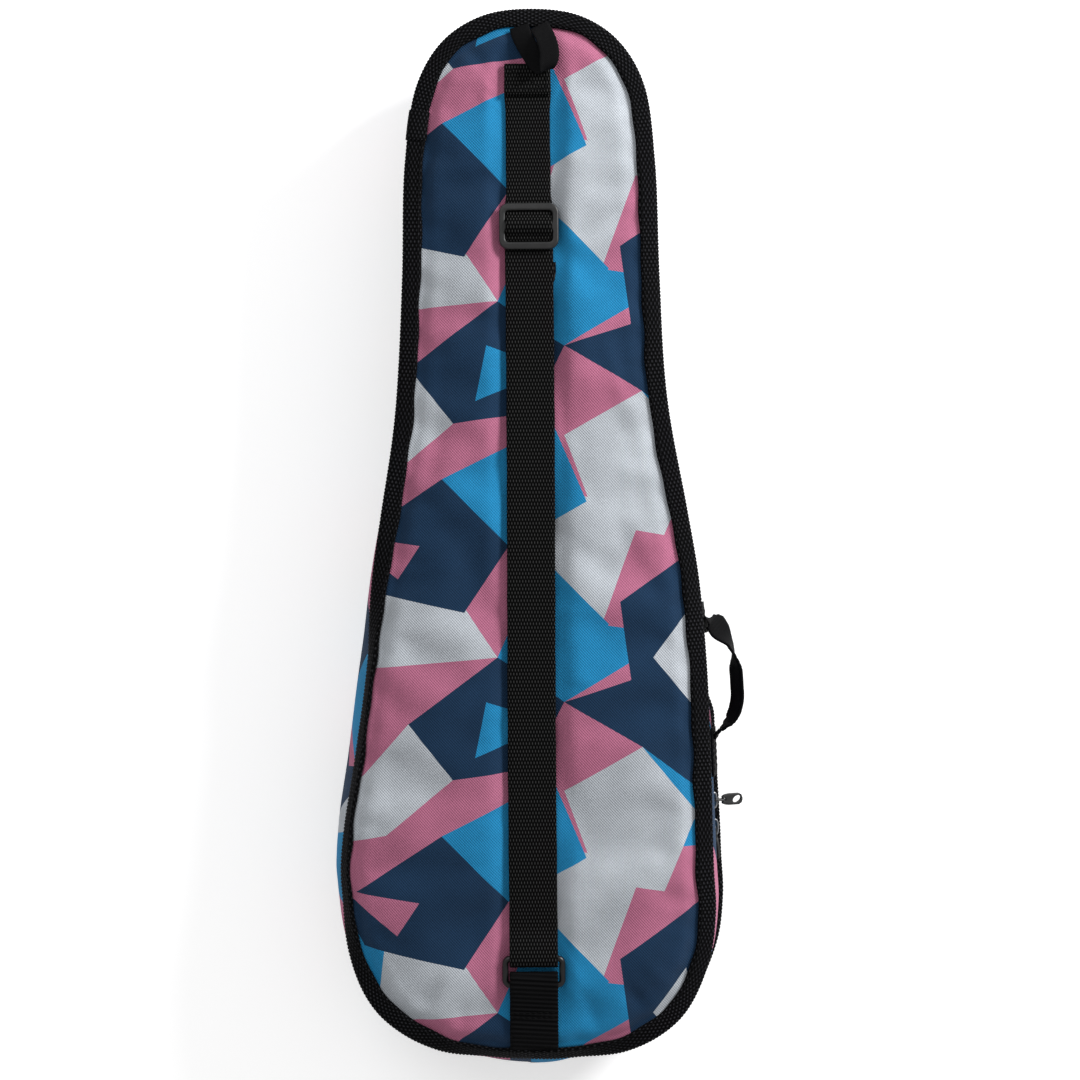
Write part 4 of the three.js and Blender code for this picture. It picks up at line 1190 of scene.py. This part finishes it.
def seam_stitches():
    """Rows of stitches along both bindings and beside the zip."""
    run = whole(1100)
    up = np.tile([0, 0, 1.0], (len(run.arc), 1))
    n, z = tilted(run, np.full((len(run.arc), 1), -8.4), BACK_SEAM + 2.55)
    stitched("back_binding_stitches", [(place(run, n, z)[:, 0], up)], "back_half", 3.0, 0.9, 0.3,
             "binding_tape")
    n = run.front[:, None] - 8.4
    stitched("front_binding_stitches", [(place(run, n, FRONT_SEAM - 2.55)[:, 0], -up)],
             "front_half", 3.0, 0.9, 0.3, "binding_tape")
    outward = np.concatenate([run.out, np.zeros((len(run.arc), 1))], 1)
    z = np.array([28.7])
    n = wall(run, z) + wall_unevenness(run, z)
    stitched("side_wall_stitches", [(place(run, n, z)[:, 0], outward)], "back_half", 2.6, 0.8, 0.22,
             "printed_fabric")
    z = np.array([13.6])
    n = wall(run, z) + 0.1
    stitched("front_band_stitches", [(place(run, n, z)[:, 0], outward)], "front_half", 2.6, 0.8, 0.22,
             "printed_fabric")


# ---- Hang loop, carry handle, sliders ----

def spline(points, per=10):
    """A smooth open line through points."""
    p = np.asarray(points, float)
    p = np.concatenate([[2 * p[0] - p[1]], p, [2 * p[-1] - p[-2]]])
    t = np.arange(per)[:, None] / per
    parts = []
    for a, b, c, d in zip(p, p[1:], p[2:], p[3:]):
        parts.append(0.5 * (2 * b + (c - a) * t + (2 * a - 5 * b + 4 * c - d) * t**2
                            + (3 * b - a - 3 * c + d) * t**3))
    return np.concatenate(parts + [p[-2:-1]])


def hang_loop():
    """Folded tape: along the panel from the seam, round at the tip, and back above itself."""
    route = np.array([
        (-6.4, 274.6, -1.3), (-4.7, 268.5, 2.3), (-1.2, 261.5, 4.4), (2.8, 254.8, 5.1),
        (5.9, 250.6, 6.3), (8.0, 249.8, 8.3), (9.0, 252.0, 10.2), (9.9, 257, 10.5),
        (9.1, 263, 9.2), (7.0, 269, 5.8), (4.4, 274.6, 0.5),
    ]) + [0, 0, DEPTH]
    path = respaced(spline(route), 0.6)
    share = np.linspace(0, 1, len(path))[:, None]
    lean = np.array([0.92, 0.38, 0]) + [[0, 0, 1]] * (0.2 * np.sin(math.tau * share))
    width = 10.8 - 2.2 * np.exp(-((share[:, 0] - 0.5) / 0.09) ** 2)
    piece = strip("hanging_loop", path, unit(lean), width, 1.25, None,
                  SMOOTH_TAPE, 9)
    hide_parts("hang_loop")
    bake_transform(piece)


def wall_frame(y, z, reach=3.0):
    """Origin, outward, along and up at a point of the wall's face on the handle side."""
    run = Run([arc_at(y, True)])
    slope = float(wall(run, [z + reach])[0, 0] - wall(run, [z - reach])[0, 0]) / (2 * reach)
    out = np.append(run.out[0], 0)
    along = np.append(run.along[0], 0)
    up = unit(out * slope + [0, 0, 1])
    outward = unit(np.cross(along, up))
    return place(run, wall(run, [z]), [z])[0, 0], outward, along, up


def off_wall(y, rise, z=HANDLE_Z):
    """A point off the side wall, up the bag on the handle side."""
    origin, outward, _, _ = wall_frame(y, z)
    return origin + outward * rise


def carry_handle():
    """A bow of webbing that twists: its face looks up near its upper end, its back below."""
    route = np.array([(-53.5, 2.7), (-50.0, 3.1), (-47.2, 4.4), (-47.8, 7.0), (-54.5, 10.6),
                      (-64, 16.2), (-77, 17.6), (-90, 17.0), (-99.5, 13.0), (-106, 7.6),
                      (-109.6, 3.8), (-112, 2.6)])
    route = respaced(spline(route), 1.0)
    share = np.linspace(0, 1, len(route))
    path = np.array([off_wall(y, rise) for y, rise in route])
    _, outward, _, up = wall_frame(-80, HANDLE_Z)
    turn = (-0.6 * ease(0.0, 0.14, share) * ease(0.36, 0.2, share)
            + 0.44 * ease(0.33, 0.5, share) * ease(0.98, 0.8, share))
    wide = up * np.cos(turn)[:, None] + outward * np.sin(turn)[:, None]
    width = 18.5 - 3.5 * np.exp(-((share - 0.34) / 0.07) ** 2) - 3 * ease(0.85, 0.95, share)
    piece = strip("handle_webbing", path, wide, width, 1.7, None, HANDLE_WEB, 9)
    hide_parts("carry_handle")
    held, free = (tuple(off_wall(-80, rise) * MM) for rise in (4, 12))
    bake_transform(piece)
    for name, low, high, inset in (("upper", -53.5, -37, 3.5), ("lower", -132.5, -107, 4.5)):
        y = np.linspace(high, low, 16)
        lift = 1.25 + 0.05 * np.sin(y)
        path = np.array([off_wall(a, r) for a, r in zip(y, lift)])
        piece = strip(f"handle_anchor_{name}", path, up, 20, WEB, "back_half",
                      HANDLE_WEB, 9)
        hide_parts(f"handle_end_{name}")
        near, far = high - inset, low + 1.8
        corners = [off_wall(y, 1.25 + WEB / 2) + up * rise
                   for y, rise in ((near, 8), (far, 8), (far, -8), (near, -8))]
        lines = []
        for i, j in BOX_LINES:
            line = respaced(np.array([corners[i], corners[j]]), 3)
            lines.append((line, np.tile(outward, (len(line), 1))))
        stitched(f"handle_stitches_{name}", lines, "back_half")


def local_matrix(origin, x, y, z):
    return Matrix((
        (x[0], y[0], z[0], origin[0]), (x[1], y[1], z[1], origin[1]),
        (x[2], y[2], z[2], origin[2]), (0, 0, 0, 1),
    ))


def pull_axis(letter):
    """The middle of the axis under a slider's bridge."""
    joint = next(j for j in frame["joints"] if j["name"] == f"pull_{letter}_flip")
    return np.array(joint["pos_m"], float) / MM


def slider(letter, y):
    """A slider: two plates, their rolled flanges and a bridge. Local axes: along, up, out."""
    _, outward, along, up = wall_frame(y, ZIP_Z)
    origin = pull_axis(letter) - outward * AXIS_RISE
    at = local_matrix(origin, along, up, outward)
    half = [(-5.5, -2.6), (-4.2, -3.5), (1.0, -3.9), (4.0, -4.0), (5.3, -3.0), (5.5, -1.2)]
    plate = half + [(4.6, 0)] + [(a, -b) for a, b in half[::-1]] + half[:1]
    smooth = rounded(plate, 0.6, 0.35)[:-1]
    meshes = [cut_plate([smooth], 1.15, 0.4, at @ Matrix.Translation((0, 0, 1.62)))]
    meshes.append(cut_plate([smooth * [1, 0.8]], 1.0, 0.35, at @ Matrix.Translation((0, 0, -2.7))))
    for side in (-1, 1):
        rail = np.array([(-4.2, side * 3.45, 1.1), (0, side * 3.75, 1.0), (4.2, side * 3.7, 1.1)])
        meshes.append(tube_mesh(respaced(rail, 0.6), 0.55, at, 10, closed=False))
    arch = np.array([(-4.1, 0, 1.9), (-4.3, 0, 3.6), (-3.6, 0, 4.9), (-2, 0, 5.35), (0, 0, 5.45),
                     (2, 0, 5.35), (3.6, 0, 4.9), (4.3, 0, 3.6), (4.1, 0, 1.9)])
    meshes.append(arch_mesh(respaced(spline(arch, 6), 0.4), 2.4, 1.1, at))
    assembled(f"slider_body_{letter}", meshes, f"slider_{letter}", "slider_metal", SLIDER_METAL,
              f"zip_slider_{letter}")


def arch_mesh(path, width, thick, matrix):
    """A flat bar bent along a line in the plane of along and out."""
    along = unit(np.gradient(path, axis=0))
    side = np.array([0, 1.0, 0])
    face = unit(np.cross(side, along))
    section = flat_section(width, thick, 4)
    rings = path[:, None] + section[None, :, :1] * side + section[None, :, 1:] * face[:, None]
    faces, _, _ = grid(len(path), len(section), False, True)
    last = (len(path) - 1) * len(section)
    faces = faces.tolist() + [list(range(len(section))), list(range(last, last + len(section)))]
    mesh = bpy.data.meshes.new("arch")
    mesh.from_pydata(rings.reshape(-1, 3).tolist(), [], faces)
    mesh.transform(Matrix.Scale(MM, 4) @ matrix)
    return mesh


def pull(letter, y):
    """The pull and its link, both from the axis under the slider's bridge."""
    _, outward, along, up = wall_frame(y, ZIP_Z)
    axis = pull_axis(letter)
    if letter == "b":
        turn = 0.08 - math.pi / 2
        reach = outward * math.cos(turn) + along * math.sin(turn)
        link = local_matrix(axis, reach, up, np.cross(reach, up))
        plate_at = link
    else:
        link = local_matrix(axis, outward, up, np.cross(outward, up))
        plate_at = local_matrix(axis, outward, along, np.cross(outward, along))
    loop = round_rect(7.6, 3.9, 1.7, 6, 3.3, 0)
    loop = np.concatenate([loop, np.zeros((len(loop), 1))], 1)
    mesh = tube_mesh(loop, 0.55, link, 10)
    assembled(f"pull_link_{letter}", [mesh], f"pull_{letter}", "ring_metal", RING_METAL)
    half = [(5.5, -2.2), (7.5, -3.0), (9.6, -3.3), (12.0, -3.3), (15.8, -3.3), (17.6, -2.3)]
    around = half + [(18.3, 0)] + [(a, -b) for a, b in half[::-1]] + half[:1]
    outline = rounded(around, 0.7, 0.4)[:-1]
    holes = [round_rect(1.4, 1.4, 0.6, 5, 7.1, 0), oval(2.6, 1.6, 14.5, 0, 0.55)]
    mesh = cut_plate([outline] + holes, 1.6, 0.5, plate_at)
    assembled(f"pull_tab_{letter}", [mesh], f"pull_{letter}", "pull_plastic", PULL_LOOK,
              f"zip_pull_{letter}")


# ---- Making ----

padded_panel("back_panel_padded", False, "back_half", ("back_shell", "back_padding"))
padded_panel("front_panel_padded", True, "front_half", ("front_shell", "front_padding"))
gusset()
front_band()
binding("back_binding_tape", BACK_SEAM, True, "back_half", "back_binding")
binding("front_binding_tape", FRONT_SEAM, False, "front_half", "front_binding")
binding_join(221, False)
for side, sign, shift in (("front", -1, 0.0), ("back", 1, 0.5)):
    zip_tape(side, sign, f"{side}_half")
    coil(side, sign, f"{side}_half", shift)
hinge_fabric()
lining_back()
lining_front()
lining_side()
inner_seam()
shoulder_strap()
ring_tab()
adjuster()
ring()
hang_loop()
carry_handle()
seam_stitches()
for letter, height in SLIDERS.items():
    slider(letter, height)
    pull(letter, height)
